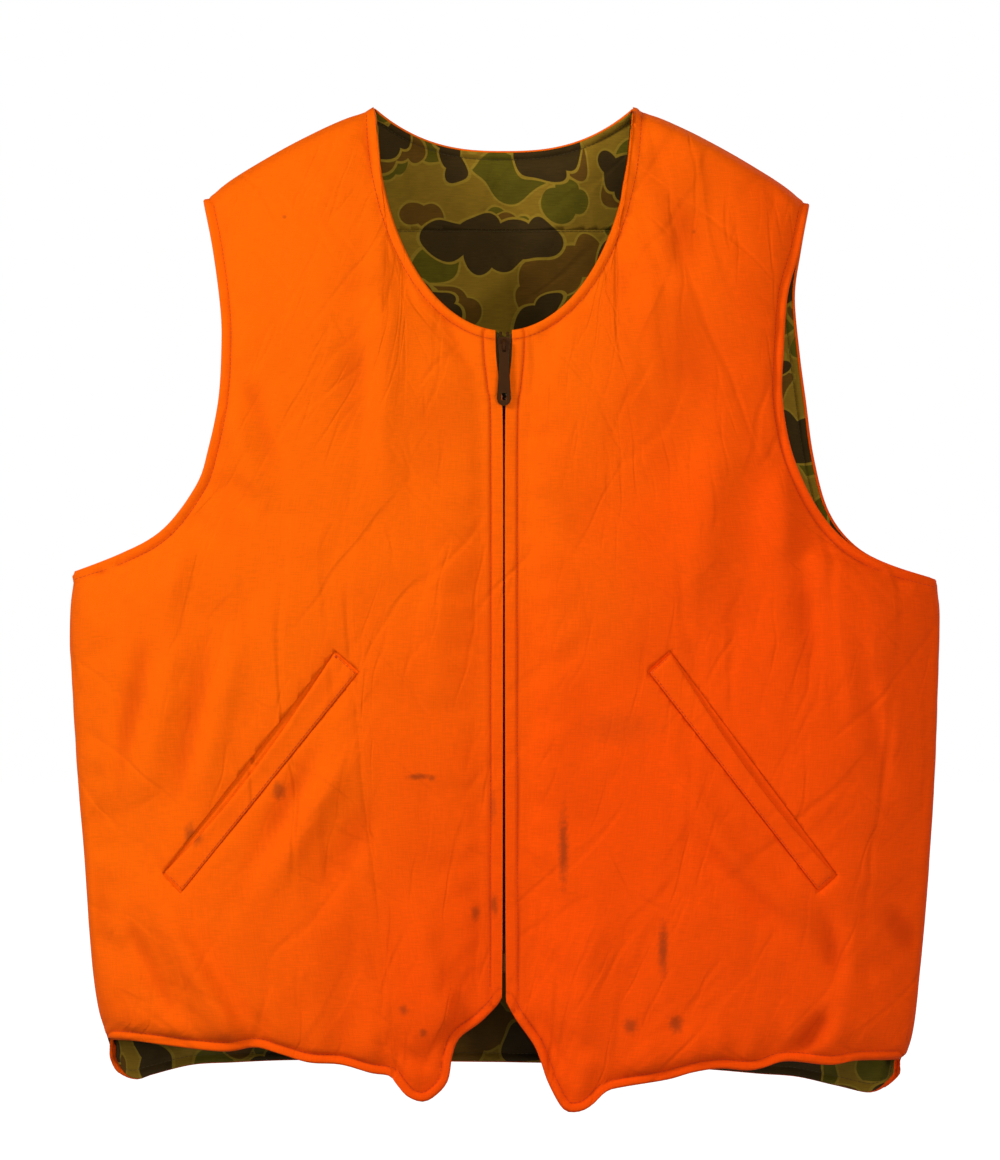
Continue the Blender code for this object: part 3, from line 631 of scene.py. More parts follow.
def read_shift(shift, grid):
    """The simulated shift at a grid's points, smoothly between the simulation's own points."""
    rows, columns = shift.shape[1:3]
    margin_u, margin_v = SIM_MARGIN / PANEL_WIDTH, SIM_MARGIN / PANEL_HEIGHT
    across = np.clip((grid.across - margin_u) / (1 - 2 * margin_u), 0, 1) * (columns - 1)
    up = np.clip((grid.up - margin_v) / (1 - 2 * margin_v), 0, 1) * (rows - 1)
    column = np.minimum(across.astype(int), columns - 2)
    row = np.minimum(up.astype(int), rows - 2)
    found = 0.0
    for step_v in range(-1, 3):
        weight_v = spline_weight(up - row - step_v)
        near_row = np.clip(row + step_v, 0, rows - 1)
        for step_u in range(-1, 3):
            weight = weight_v * spline_weight(across - column - step_u)
            near_column = np.clip(column + step_u, 0, columns - 1)
            found = found + weight[..., None] * shift[:, near_row, near_column]
    mix = ((grid.share + 1) / 2)[..., None]
    return found[0] * mix + found[1] * (1 - mix)


def spline_weight(distance):
    """Weight of a uniform cubic spline's control point at a distance in cells."""
    distance = np.abs(distance)
    near = 2 / 3 - distance ** 2 + distance ** 3 / 2
    return np.where(distance < 1, near, np.clip(2 - distance, 0, None) ** 3 / 6)


# ---------------------------------------------------------------- meshes and pieces
def linked(name, mesh):
    """A new object in the scene for a mesh."""
    piece = bpy.data.objects.new(name, mesh)
    bpy.context.scene.collection.objects.link(piece)
    return piece


def new_mesh(name, points, faces):
    """A mesh of plain points and faces."""
    mesh = bpy.data.meshes.new(name)
    mesh.from_pydata(points.tolist(), [], [tuple(map(int, face)) for face in faces])
    return mesh


def store(mesh, name, values):
    """Keep a vector at each point of a mesh, where its material reads it."""
    attribute = mesh.attributes.new(name, "FLOAT_VECTOR", "POINT")
    attribute.data.foreach_set("vector", np.asarray(values, np.float32).ravel())


def add_piece(name, points, faces, material, cloth=None, front=None, smooth=True):
    """A mesh object with a material, and each point's place on the flat cloth and on the front, whose middle
    number can carry painted shade.
    """
    points = np.asarray(points, float).reshape(-1, 3)
    mesh = new_mesh(name, points, faces)
    store(mesh, "cloth_place", points if cloth is None else cloth)
    store(mesh, "front_place", points * (1.0, 0.0, 1.0) if front is None else front)
    mesh.materials.append(material)
    if smooth:
        mesh.shade_smooth()
    return linked(name, mesh)


@contextmanager
def edited(mesh):
    """A mesh's points and faces to work on, written back to it afterwards and shaded smooth."""
    work = bmesh.new()
    work.from_mesh(mesh)
    yield work
    work.to_mesh(mesh)
    work.free()
    mesh.shade_smooth()


def stand_for(piece, slot, *nodes):
    """Let a piece stand for its CAD nodes by hiding them; the slot is not used."""
    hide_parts(*nodes)


def thicken(piece, thickness):
    """Give a sheet its cloth's thickness, inwards from the face it shows."""
    solid = piece.modifiers.new("Cloth thickness", "SOLIDIFY")
    solid.thickness = thickness
    solid.offset = -1.0
    return piece


def cloth_places(places, flat, sign):
    """Where each point lies on the flat cloth: the way along its row, and its height."""
    steps = np.linalg.norm(np.diff(places, axis=1), axis=-1)
    travel = np.concatenate([np.zeros((len(places), 1)), np.cumsum(steps, axis=1)], axis=1)
    across = sign * (travel + flat[:, :1, 0])
    return np.stack([across, flat[..., 1], np.zeros(across.shape)], axis=-1)


def shade_line(distance):
    """How much painted shade lies along a line of topstitching, at distances from it."""
    return np.exp(-(np.abs(distance) / SHADE_LINE_WIDTH) ** 1.5)


class Wall:
    """One half of the front or the back: its layers follow the same folds and the same simulation."""

    def __init__(self, name, is_front):
        self.panel = Panel(name, is_front)
        self.lining_panel = Panel(name, is_front, is_lining=is_front)
        self.shift = simulate_wall(self.panel, self.lining_panel)

    def places(self, grid):
        """Final places of a grid's points."""
        lift = lift_of(grid) * (1 - LINING_EASE + LINING_EASE * grid.share)
        places = grid.panel.place(grid.flat, inset_of(grid) + grid.extra_inset, lift)
        simulated = read_shift(self.shift, grid)
        eased = smooth_step(0.004, 0.010, grid.edge) * smooth_step(0.012, 0.022, grid.placket)
        return places + simulated * eased[..., None]

    def sheet(self, layer):
        """A layer's grid, its places, its places on the flat cloth, and its places on the front carrying the
        painted shade.
        """
        grid = Grid(self.panel if layer == "shell" else self.lining_panel, layer)
        places = self.places(grid)
        # Painted shade: darker along the edge topstitching, broken up at random, in the folds' valleys and
        # along the placket's topstitching.
        painted_shade = shade_line(grid.edge - STITCH_IN)
        painted_shade *= 0.62 + 0.38 * random_field(grid.flat, 0.045, 31)
        painted_shade = np.maximum(painted_shade, VALLEY_SHADE * smooth_step(0.0005, 0.0055, -lift_of(grid)))
        if grid.panel.is_front and layer == "shell":
            painted_shade = np.maximum(painted_shade, shade_line(grid.placket - PLACKET_STITCH))
        front = np.stack([grid.panel.sign * grid.flat[..., 0], painted_shade, grid.flat[..., 1]], axis=-1)
        return places, cloth_places(places, grid.flat, grid.panel.sign), front


# ---------------------------------------------------------------- sheets, wadding and pocket bags
PADDING_SPACING = 0.0065
PADDING_MARGIN = 0.0105
PADDING_STOP = 0.0095        # the wadding ends this far in from an open edge
PADDING_FULL = 0.024         # and is full from here on
PADDING_SHARES = (0.60, -0.36)
PADDING_PLACKET_MARGIN = 0.021
PADDING_FROM_PLACKET = 0.012
BEND_X = 0.080               # where a front folds when it is swung open; the wadding is thinner there
BEND_WIDTH = 0.028
BEND_THINNING = 0.45
MOUTH_HOLLOW = 0.0030        # how far the wadding is pressed in behind a pocket's mouth
BAG_BOTTOM_Z = -0.640
BAG_INNER_X = 0.098
BAG_MOUTH = [(0.240, -0.540), (0.125, -0.385)]   # the bag's outer edge, up to its top: (x, z)
BAG_SHAPE = (44, 26)         # rows and columns
BAG_SHARES = (-0.50, -0.70)  # the two cloths, in shares of the wall's half thickness
BAG_EDGE_GAP = 0.05          # how far from the wall's edges a bag counts as lying
HEM_Z = -0.665               # the hem's height below the bags


def joined(halves):
    """A right and a left grid as one, meeting at the centre line, or the only one as it is."""
    if len(halves) == 1:
        return halves[0]
    right, left = halves
    return np.concatenate([right[:, :0:-1], left], axis=1)


def sheet_piece(name, walls, layer, material):
    """The shell or lining of one front, or of the whole back, as a sheet."""
    places, cloth, front = map(joined, zip(*[wall.sheet(layer) for wall in walls]))
    if len(walls) == 2:
        places[:, places.shape[1] // 2, 0] = 0.0
    faces = grid_faces(numbered(places.shape), is_flipped(walls[-1].panel, layer))
    return add_piece(name, places, faces, material, cloth, front)


def padding_piece(name, walls, material):
    """The wadding between shell and lining, stopped short of every edge."""
    margins = (PADDING_MARGIN, PADDING_PLACKET_MARGIN if walls[0].panel.is_front else 0.0)
    halves = []
    for wall in walls:
        grids = [EvenGrid(wall.panel, share, PADDING_SPACING, *margins) for share in PADDING_SHARES]
        room = np.minimum(grids[0].edge, grids[0].placket - PADDING_FROM_PLACKET)
        full = smooth_step(PADDING_STOP, PADDING_FULL, room)
        for grid in grids:
            grid.share = grid.share * full
            grid.draw_in(PADDING_STOP)
        if wall.panel.is_front:
            for grid in grids:
                bend = np.exp(-((grid.flat[..., 0] - BEND_X) / BEND_WIDTH) ** 2)
                grid.share = grid.share * (1 - BEND_THINNING * bend)
            middle = on_window(wall.panel.name, np.linspace(0, 1, 20), 0.5)
            mouth = distance_to(middle, grids[0].flat)
            grids[0].extra_inset = MOUTH_HOLLOW * smooth_step(0.034, 0.020, mouth)
        halves.append([wall.places(grid) for grid in grids] + [full])
    outer, inner, full = map(joined, zip(*halves))
    faces = pillow_faces(*full.shape, is_flipped(walls[-1].panel, "shell"))
    return add_piece(name, *trimmed(np.stack([outer, inner]), faces, full.ravel() == 0), material)


def trimmed(points, faces, empty):
    """A pillow's points and faces without its empty rim, where its two layers lie on each other."""
    count = len(empty)
    outer = np.arange(count)
    merged = np.concatenate([outer, np.where(empty, outer, outer + count)])
    on_rim = np.concatenate([empty, np.zeros(count, bool)])
    kept = []
    for face in faces:
        corners = list(dict.fromkeys(merged[list(face)].tolist()))
        if len(corners) > 2 and not on_rim[corners].all():
            kept.append(corners)
    used = np.unique(np.concatenate(kept))
    renumber = np.zeros(2 * count, int)
    renumber[used] = np.arange(len(used))
    return points.reshape(-1, 3)[used], [renumber[face].tolist() for face in kept]


def pocket_bag(name, wall, material):
    """The pocket's bag behind the padding: two cloths, sewn round."""
    height = np.linspace(BAG_BOTTOM_Z, BAG_MOUTH[1][1], BAG_SHAPE[0])
    mouth = np.interp(height, [z for _, z in BAG_MOUTH], [x for x, _ in BAG_MOUTH])
    across = np.linspace(BAG_INNER_X, mouth, BAG_SHAPE[1], axis=1)
    flat = np.stack([across, np.broadcast_to(height[:, None], BAG_SHAPE)], axis=-1)
    layers = []
    for share in BAG_SHARES:
        grid = EvenGrid(wall.panel, share, PADDING_SPACING, PADDING_MARGIN, PADDING_MARGIN)
        grid.flat = flat
        grid.across = flat[..., 0] / wall.panel.seam_x(flat[..., 1])
        grid.up = (flat[..., 1] - HEM_Z) / PANEL_HEIGHT
        grid.share = np.full(BAG_SHAPE, share)
        grid.edge = np.full(BAG_SHAPE, BAG_EDGE_GAP)
        grid.seam = grid.edge
        grid.placket = flat[..., 0]
        layers.append(wall.places(grid))
    faces = pillow_faces(*BAG_SHAPE, is_flipped(wall.panel, "shell"))
    return add_piece(name, np.stack(layers), faces, material)


# ---------------------------------------------------------------- lines of stitches
STITCH_PITCH = 0.0031
STITCH_LENGTH = 0.0026
THREAD_RADIUS = 0.00019
THREAD_SIDES = 5
# A stitch from end to end: share of its length, height over the cloth and share of its thickness.
THREAD_SECTIONS = [(0.0, -0.00015, 0.55), (0.22, 0.00010, 1.0), (0.78, 0.00010, 1.0), (1.0, -0.00015, 0.55)]
RAY_START = 0.3


def tree_of(piece):
    """A search tree over a piece's faces."""
    mesh = piece.data
    return BVHTree.FromPolygons([vertex.co for vertex in mesh.vertices],
                                [tuple(polygon.vertices) for polygon in mesh.polygons])


def touch(tree, x, z, toward):
    """Where a line along Y, coming from in front (+1) or behind (-1), meets a surface first."""
    place, normal, _, _ = tree.ray_cast(Vector((x, -RAY_START * toward, z)), Vector((0, toward, 0)))
    if place is None:
        return None
    return place, normal if normal.y * toward < 0 else -normal


def offset_line(line, distance, left):
    """A sampled line moved sideways, to the left or the right of its own direction."""
    along = np.gradient(line, axis=0)
    along /= np.hypot(*along.T)[:, None]
    side = np.column_stack([-along[:, 1], along[:, 0]]) * (1 if left else -1)
    return even_line(line + side * distance, 500)


def thread_run(line, tree, sign, toward):
    """Stitches along a line: the two ends of each, on the surface, with their normals."""
    count = int(line_length(line) / STITCH_PITCH)
    share = np.arange(count) * STITCH_PITCH / line_length(line)
    starts = at(line, share)
    ends = at(line, share + STITCH_LENGTH / line_length(line))
    found = []
    for start, end in zip(starts, ends):
        first = touch(tree, sign * start[0], start[1], toward)
        last = touch(tree, sign * end[0], end[1], toward)
        if first and last and (first[0] - last[0]).length < 2 * STITCH_LENGTH:
            found.append((first, last))
    return found


def sewn(name, sides, tree, toward, material):
    """One piece for many stitches, each a short round thread that dips into the cloth at its ends.

    Each side is its sign and its flat lines of stitches.
    """
    runs = [run for sign, lines in sides for line in lines for run in thread_run(line, tree, sign, toward)]
    points, faces = [], []
    for (start, start_normal), (end, end_normal) in runs:
        normal = (start_normal + end_normal).normalized()
        side = (end - start).cross(normal).normalized()
        faces += tube_faces(len(points) + numbered((len(THREAD_SECTIONS), THREAD_SIDES)), flip=True)
        for share, height, width in THREAD_SECTIONS:
            middle = start.lerp(end, share) + normal * height
            for corner in range(THREAD_SIDES):
                turn = 2 * math.pi * corner / THREAD_SIDES
                out = side * math.cos(turn) + normal * math.sin(turn)
                points.append(middle + THREAD_RADIUS * width * out)
    return add_piece(name, [tuple(point) for point in points], faces, material)


def edge_stitching(panel):
    """The topstitching of a panel's free edges, as flat lines."""
    edges = [(panel.hem, True), (panel.neck, False), (panel.armhole, True)]
    return [offset_line(edge, STITCH_IN, left)[4:-4] for edge, left in edges]


def placket_stitching(panel):
    """The line of topstitching beside the zip."""
    return offset_line(panel.placket, PLACKET_STITCH, left=False)[8:-6]


# ---------------------------------------------------------------- pocket windows and welts
WINDOW_TURN = 0.0009         # how far the cloth dips where it is turned in round a window
WINDOW_TURN_REACH = 0.0016
WINDOW_MARGIN = 0.012        # cloth round a window that the cut may touch
RAISED_LEAN = 0.3            # how far a raised point also follows the slope of the cloth below it
WELT_ROWS = 64
BAR_TACK = (-0.004, -0.002, 0.0, 0.002, 0.004)   # its threads, in shares of the window's length
WELT_GAP = 0.0007            # dark gap between a welt and the window it lies in
WELT_END_GAP = 0.0020        # and beyond its two ends
WELT_PUFF = 0.0010           # how much fuller its free edge stands where it sags most
# A welt's cut across: share of the window's width, and height over the orange cloth.
WELT_SECTION = [(0.0, -0.0016), (0.02, -0.0003), (0.06, 0.0002), (0.16, 0.0004), (0.30, 0.0004),
                (0.50, 0.0004), (0.70, 0.0004), (0.84, 0.0004), (0.93, 0.0002), (0.975, -0.0001),
                (1.0, -0.0007), (0.975, -0.0012), (0.90, -0.0014), (0.60, -0.0015), (0.30, -0.0015)]


def cut_window(shell, name):
    """Cut a pocket's window out of the orange cloth and turn its edges in."""
    sign = SIDES[name]
    corners = [Vector((sign * x, 0.0, z)) for x, z in mouth_corners(name)]
    middle = sum(corners, Vector()) / 4
    reach = max((corner - middle).length for corner in corners) + WINDOW_MARGIN
    sides = list(zip(corners, corners[1:] + corners[:1]))
    line = np.array([(corner.x, corner.z) for corner in corners + corners[:1]])
    with edited(shell.data) as work:
        for start, end in sides:
            across = (end - start).cross(Vector((0, 1, 0))).normalized()
            near = faces_near(work, middle, reach)
            parts = near + list(dict.fromkeys(edge for face in near for edge in face.edges))
            parts += list(dict.fromkeys(vertex for face in near for vertex in face.verts))
            bmesh.ops.bisect_plane(work, geom=parts, plane_co=start, plane_no=across)
        inside = [face for face in faces_near(work, middle, reach)
                  if within(face.calc_center_median(), sides, middle)]
        bmesh.ops.delete(work, geom=inside, context="FACES")
        for vertex in work.verts:
            if flat_gap(vertex.co, middle) < reach:
                gap = float(distance_to(line, np.array([[vertex.co.x, vertex.co.z]]))[0])
                vertex.co.y += WINDOW_TURN * math.exp(-gap / WINDOW_TURN_REACH)


def faces_near(work, middle, reach):
    """Faces whose middle lies within reach of a place, as seen from the front."""
    return [face for face in work.faces if flat_gap(face.calc_center_median(), middle) < reach]


def flat_gap(place, middle):
    """Distance between two places as seen from the front."""
    return math.hypot(place.x - middle.x, place.z - middle.z)


def within(place, sides, middle):
    """Whether a place is on the middle's side of every side of a window."""
    def beside(point, start, end):
        return (end - start).cross(point - start).y
    return all(beside(place, *side) * beside(middle, *side) > 0 for side in sides)


def on_window(name, along, across):
    """Flat places in a window by shares along it and across it, from its seam to its open edge."""
    along, across = np.broadcast_arrays(np.asarray(along, float), np.asarray(across, float))
    seam, free = welt_line(name, along, 0), welt_line(name, along, 2)
    return seam + (free - seam) * across[..., None]


def raised(tree, flat, sign, height):
    """Points over the orange cloth at flat places, raised out of it by a height."""
    points = []
    heights = np.broadcast_to(height, flat.shape[:-1]).ravel()
    for (x, z), rise in zip(flat.reshape(-1, 2), heights):
        place, normal = touch(tree, sign * x, z, 1)
        out = Vector((RAISED_LEAN * normal.x, -1.0, RAISED_LEAN * normal.z))
        points.append(tuple(place + out * float(rise)))
    return points


def cut_from_front(points):
    """Places on the flat cloth for a small strip that lies in the front: across and up."""
    return np.array(points)[:, [0, 2, 1]] * np.array([1.0, 1.0, 0.0])


def welt_piece(name, tree, material):
    """A folded strip in the window: sewn down along its inner side and at both ends, sagging on the other."""
    sign = SIDES[name]
    length, width = window_size(name)
    along = np.concatenate([[0.0, 0.004, 0.010], np.linspace(0.02, 0.98, WELT_ROWS), [0.990, 0.996, 1.0]])
    section = np.array(WELT_SECTION)
    end_gap, side_gap = WELT_END_GAP / length, WELT_GAP / width
    ease = np.sin(math.pi * along ** 1.25) ** 0.8
    reach = 1 - side_gap - (WELT_SAG / width) * ease
    across = side_gap * 0.5 + section[None, :, 0] * (reach[:, None] - side_gap * 0.5)
    flat = on_window(name, end_gap + (1 - 2 * end_gap) * along[:, None], across)
    height = section[None, :, 1] + WELT_PUFF * ease[:, None] * smooth_step(0.35, 1.0, section[None, :, 0])
    height = height + 0.0003 * random_field(flat, 0.018, 21) * (section[None, :, 1] > 0)
    points = raised(tree, flat, sign, height - 0.0006 * (np.abs(along - 0.5) > 0.495)[:, None])
    faces = tube_faces(numbered(flat.shape), flip=sign > 0)
    piece = add_piece(f"{name}_welt", points, faces, material, cut_from_front(points))
    piece.data.set_sharp_from_angle(angle=math.radians(50))
    return piece


def facing_piece(name, tree, material):
    """The cloth seen in the open mouth behind the welt, which leads down into the bag."""
    flat = on_window(name, np.linspace(-0.03, 1.03, 60)[:, None], np.linspace(-0.12, 1.14, 12)[None, :])
    dip = FACING_SAG * np.sin(math.pi * np.linspace(0, 1, 60))[:, None]
    points = raised(tree, flat, SIDES[name], -FACING_DEPTH - dip)
    faces = grid_faces(numbered(flat.shape), SIDES[name] > 0)
    piece = add_piece(f"{name}_pocket_facing", points, faces, material, cut_from_front(points))
    return thicken(piece, SHELL_THICKNESS)


def welt_stitching(name):
    """The stitches that hold a welt: beside its seam edge, across both ends, and two bar tacks."""
    straight = np.linspace(0, 1, 60)
    lines = [on_window(name, 0.012 + 0.976 * straight, np.full(60, 0.09))]
    for along in (0.014, 0.986):
        lines.append(on_window(name, np.full(60, along), 0.08 + 0.80 * straight))
        for step in BAR_TACK:
            lines.append(on_window(name, np.full(60, along + step), 0.80 + 0.14 * straight))
    return [even_line(line) for line in lines]


# ---------------------------------------------------------------- zip
# A tape's cut across from its cord: share of its width, and half thickness.
TAPE_SECTION = [(0.0, 0.0), (0.0, 0.0004), (0.03, 0.00075), (0.08, 0.00075), (0.12, 0.0003), (0.5, 0.00025),
                (0.94, 0.00025), (1.0, 0.0001)]
TAPE_ROWS = 160
TAPE_SWAY = 0.0001
TAPE_WAVES = 210
TEETH_PITCH = 0.0028
TEETH_TOP = -0.1700
TEETH_BOTTOM = {"right": -0.5925, "left": -0.5755}
# A tooth seen from the front, as (distance from the centre line, height): its foot, waist and head.
TOOTH_OUTLINE = [(0.0034, -0.00070), (0.0018, -0.00070), (0.0014, -0.00045), (0.0010, -0.00060),
                 (0.00062, -0.00030)]
TOOTH_LEVELS = [(-0.00115, 0.88), (-0.00090, 1.0), (0.00090, 1.0), (0.00115, 0.88)]
TOOTH_CENTRE = 0.002
# Half of the slider's plate, as shares of its half width and of its height down from the top.
SLIDER_OUTLINE = [(0.0, -0.02), (0.50, 0.0), (0.86, 0.05), (1.0, 0.22), (0.98, 0.45), (0.84, 0.75),
                  (0.80, 0.95), (0.70, 1.0)]
SLIDER_FRONT_Y = -0.0505
SLIDER_PLATE = 0.0008
SLIDER_NECK = (0.0008, 0.0026)   # width and height of the neck between the plates
SLIDER_NECK_DROP = 0.0018        # its middle, below the slider's top
SLIDER_BEVEL = 0.00022
SLIDER_BEVEL_ANGLE = math.radians(30)
BEVEL_ANGLE = math.radians(25)
BOX_FRONT_Y = -0.0487            # the box's face is held back behind the placket
STOP_BEVEL = 0.00012
# Other pieces of the CAD whose shape is kept: node, name, body and width of the rounding.
METAL_PIECES = [
    ("retainer_box", "box", "right_front", 0.00030),
    ("insertion_pin", "pin", "left_front", 0.00030),
    ("slider_bridge", "bridge", "slider", 0.00035),
    ("zip_puller", "puller", "puller", 0.00030),
]


def tape_piece(name, material):
    """One half's tape, with the round cord that the teeth are moulded on along its inner edge."""
    low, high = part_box(f"{name}_zip_tape")
    inner, width = (high[0], low[0] - high[0]) if name == "right" else (low[0], high[0] - low[0])
    ring = TAPE_SECTION + [(share, -y) for share, y in reversed(TAPE_SECTION[1:])]
    points = []
    for z in np.linspace(low[2], high[2], TAPE_ROWS):
        sway = TAPE_SWAY * math.sin(TAPE_WAVES * z)
        points.append([(inner + width * share, ZIP_PLANE_Y + y + sway * share, z) for share, y in ring])
    faces = tube_faces(numbered((len(points), len(ring))), flip=name == "left")
    return add_piece(f"{name}_tape", points, faces, material, smooth=False)


def teeth_piece(name, material):
    """A row of moulded teeth: each a block on the tape's cord with a rounded head towards the centre."""
    sign = SIDES[name]
    outline = TOOTH_OUTLINE + [(x, -along) for x, along in reversed(TOOTH_OUTLINE)]
    if sign < 0:
        outline = outline[::-1]
    start = TEETH_TOP - (0.0 if name == "right" else TEETH_PITCH / 2)
    points, faces = [], []
    for z in np.arange(start, TEETH_BOTTOM[name], -TEETH_PITCH):
        faces += tube_faces(len(points) + numbered((len(TOOTH_LEVELS), len(outline))), flip=False)
        for y, scale in TOOTH_LEVELS:
            for x, along in outline:
                across = TOOTH_CENTRE + (x - TOOTH_CENTRE) * scale
                points.append((sign * across, ZIP_PLANE_Y + y, z + along * scale))
    return add_piece(f"{name}_teeth", points, faces, material, smooth=False)


def copied(node, name, body, bevel, material):
    """A CAD piece's own shape with its edges rounded, standing for it; the box's face is held back."""
    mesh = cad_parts[node].data.copy()
    if name == "box":
        for vertex in mesh.vertices:
            vertex.co.y = max(vertex.co.y, BOX_FRONT_Y)
    with edited(mesh) as work:
        bmesh.ops.remove_doubles(work, verts=work.verts, dist=0.00002)
        bmesh.ops.dissolve_limit(work, angle_limit=math.radians(2), verts=work.verts, edges=work.edges)
    mesh.name = name
    return metal_piece(mesh, node, material, bevel, body, BEVEL_ANGLE)


def metal_piece(mesh, node, material, bevel, body, angle):
    """An enamelled piece with rounded edges, standing for a CAD node."""
    mesh.materials.clear()
    mesh.materials.append(material)
    store(mesh, "cloth_place", [vertex.co for vertex in mesh.vertices])
    piece = linked(mesh.name, mesh)
    rounding = piece.modifiers.new("Rounded edges", "BEVEL")
    rounding.width = bevel
    rounding.segments = 3
    rounding.angle_limit = angle
    rounding.harden_normals = True
    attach(piece, body)
    stand_for(piece, "zip_metal", node)
    return piece


def slider_piece(material):
    """The slider's body: a front and a back plate, wide at the top, joined by a neck between the rows."""
    low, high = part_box("slider_body")
    width, height, top = high[0], high[2] - low[2], high[2]
    outline = [(x * width, top - down * height) for x, down in SLIDER_OUTLINE]
    outline += [(-x, z) for x, z in reversed(outline[1:])]
    neck = [(x * SLIDER_NECK[0] / 2, top - SLIDER_NECK_DROP + z * SLIDER_NECK[1] / 2)
            for x, z in ((-1, 1), (1, 1), (1, -1), (-1, -1))]
    inner_front, inner_back = SLIDER_FRONT_Y + SLIDER_PLATE, high[1] - SLIDER_PLATE
    blocks = [(outline, SLIDER_FRONT_Y, inner_front), (outline, inner_back, high[1]),
              (neck, inner_front, inner_back)]
    points, faces = [], []
    for shape, front, back in blocks:
        faces += tube_faces(len(points) + numbered((2, len(shape))), flip=False)
        points += [(x, y, z) for y in (front, back) for x, z in shape]
    mesh = new_mesh("slider", np.array(points), faces)
    mesh.shade_smooth()
    return metal_piece(mesh, "slider_body", material, SLIDER_BEVEL, "slider", SLIDER_BEVEL_ANGLE)


# ---------------------------------------------------------------- materials
class Shader:
    """A material's node tree, with short ways to add nodes and join them."""

    def __init__(self, name, roughness, specular, sheen=(0.0, 0.5), tint=(1.0, 1.0, 1.0)):
        self.material = bpy.data.materials.new(name)
        self.material.use_nodes = True
        self.tree = self.material.node_tree
        self.surface = self.tree.nodes["Principled BSDF"]
        plain = {"Roughness": roughness, "Specular IOR Level": specular, "Sheen Weight": sheen[0],
                 "Sheen Roughness": sheen[1], "Sheen Tint": (*tint, 1.0)}
        for key, value in plain.items():
            self.surface.inputs[key].default_value = value
        self.place = self.add("ShaderNodeAttribute", attribute_name="cloth_place").outputs["Vector"]
        self.front = self.add("ShaderNodeAttribute", attribute_name="front_place").outputs["Vector"]

    def add(self, kind, inputs=None, **settings):
        """A node with its settings, and its inputs as sockets or plain values."""
        node = self.tree.nodes.new(kind)
        for key, value in settings.items():
            setattr(node, key, value)
        for key, value in (inputs or {}).items():
            if isinstance(value, bpy.types.NodeSocket):
                self.tree.links.new(value, node.inputs[key])
            else:
                node.inputs[key].default_value = value
        return node

    def math(self, operation, *values):
        """A Math node's output."""
        return self.add("ShaderNodeMath", dict(enumerate(values)), operation=operation).outputs[0]

    def plus(self, *values):
        """The sum of two values."""
        return self.math("ADD", *values)

    def times(self, *values):
        """The product of two values."""
        return self.math("MULTIPLY", *values)

    def grey(self, value):
        """A grey of a value's brightness."""
        return self.add("ShaderNodeCombineColor", {0: value, 1: value, 2: value}).outputs[0]

    def vector(self, operation, *values):
        """A Vector Math node's output."""
        return self.add("ShaderNodeVectorMath", dict(enumerate(values)), operation=operation).outputs[0]

    def measure(self, operation, *values):
        """A Vector Math node's number: a length, distance or dot product."""
        return self.add("ShaderNodeVectorMath", dict(enumerate(values)), operation=operation).outputs["Value"]

    def parts(self, vector):
        """A vector's three parts."""
        return self.add("ShaderNodeSeparateXYZ", {0: vector}).outputs

    def moved(self, scale, offset=(0.0, 0.0, 0.0), turn=0.0, vector=None):
        """The cloth's place, scaled, moved and turned."""
        inputs = {"Vector": vector or self.place, "Location": offset, "Rotation": (0.0, 0.0, turn),
                  "Scale": scale}
        return self.add("ShaderNodeMapping", inputs).outputs[0]

    def noise(self, scale, detail=2.0, roughness=0.5, vector=None, offset=0.0):
        """Noise from 0 to 1 with `scale` features to the metre."""
        place = self.moved((1, 1, 1), (offset, offset * 0.7, 0.0), vector=vector)
        inputs = {"Vector": place, "Scale": scale, "Detail": detail, "Roughness": roughness}
        return self.add("ShaderNodeTexNoise", inputs).outputs["Fac"]

    def span(self, value, low, high, to_low=0.0, to_high=1.0):
        """A value's range turned smoothly into another."""
        inputs = {0: value, 1: low, 2: high, 3: to_low, 4: to_high}
        return self.add("ShaderNodeMapRange", inputs, interpolation_type="SMOOTHSTEP").outputs[0]

    def mix(self, share, first, second, blend="MIX"):
        """Two colours mixed; either may be a socket or a plain colour."""
        def colour(value):
            return value if isinstance(value, bpy.types.NodeSocket) else (*value, 1.0)
        inputs = {0: share, 6: colour(first), 7: colour(second)}
        node = self.add("ShaderNodeMix", inputs, data_type="RGBA", blend_type=blend)
        return node.outputs[2]

    def weave(self, pitch):
        """A plain weave: 1 on the crown of a thread, 0 between threads."""
        across, up, _ = self.parts(self.place)
        waves = [self.math("SINE", self.times(part, 2 * math.pi / pitch)) for part in (across, up)]
        return self.span(self.times(*waves), -1.0, 1.0)

    def creases(self, scale, turn, offset):
        """Broken crease lines that run along one direction: 1 in a crease, 0 between creases."""
        turned = self.moved((1, 1, 1), (offset, 0.0, 0.0), turn)
        place = self.moved((1.7, 0.42, 1.0), vector=turned)
        ridges = self.math("ABSOLUTE", self.math("SUBTRACT", self.noise(scale, 2.0, 0.45, place), 0.5))
        there = self.span(self.noise(scale * 0.9, 1.0, 0.5, place, 5.3), 0.46, 0.60)
        return self.times(there, self.span(ridges, 0.055, 0.0))

    def crumpled(self):
        """Heights of worn cloth: long creases that run down, and finer ones that slant both ways."""
        height = self.creases(8.0, 0.0, 2.2)
        for scale, turn, offset, depth in FINE_CREASES:
            height = self.math("MULTIPLY_ADD", self.creases(scale, turn, offset), depth, height)
        return self.times(height, -1.0)

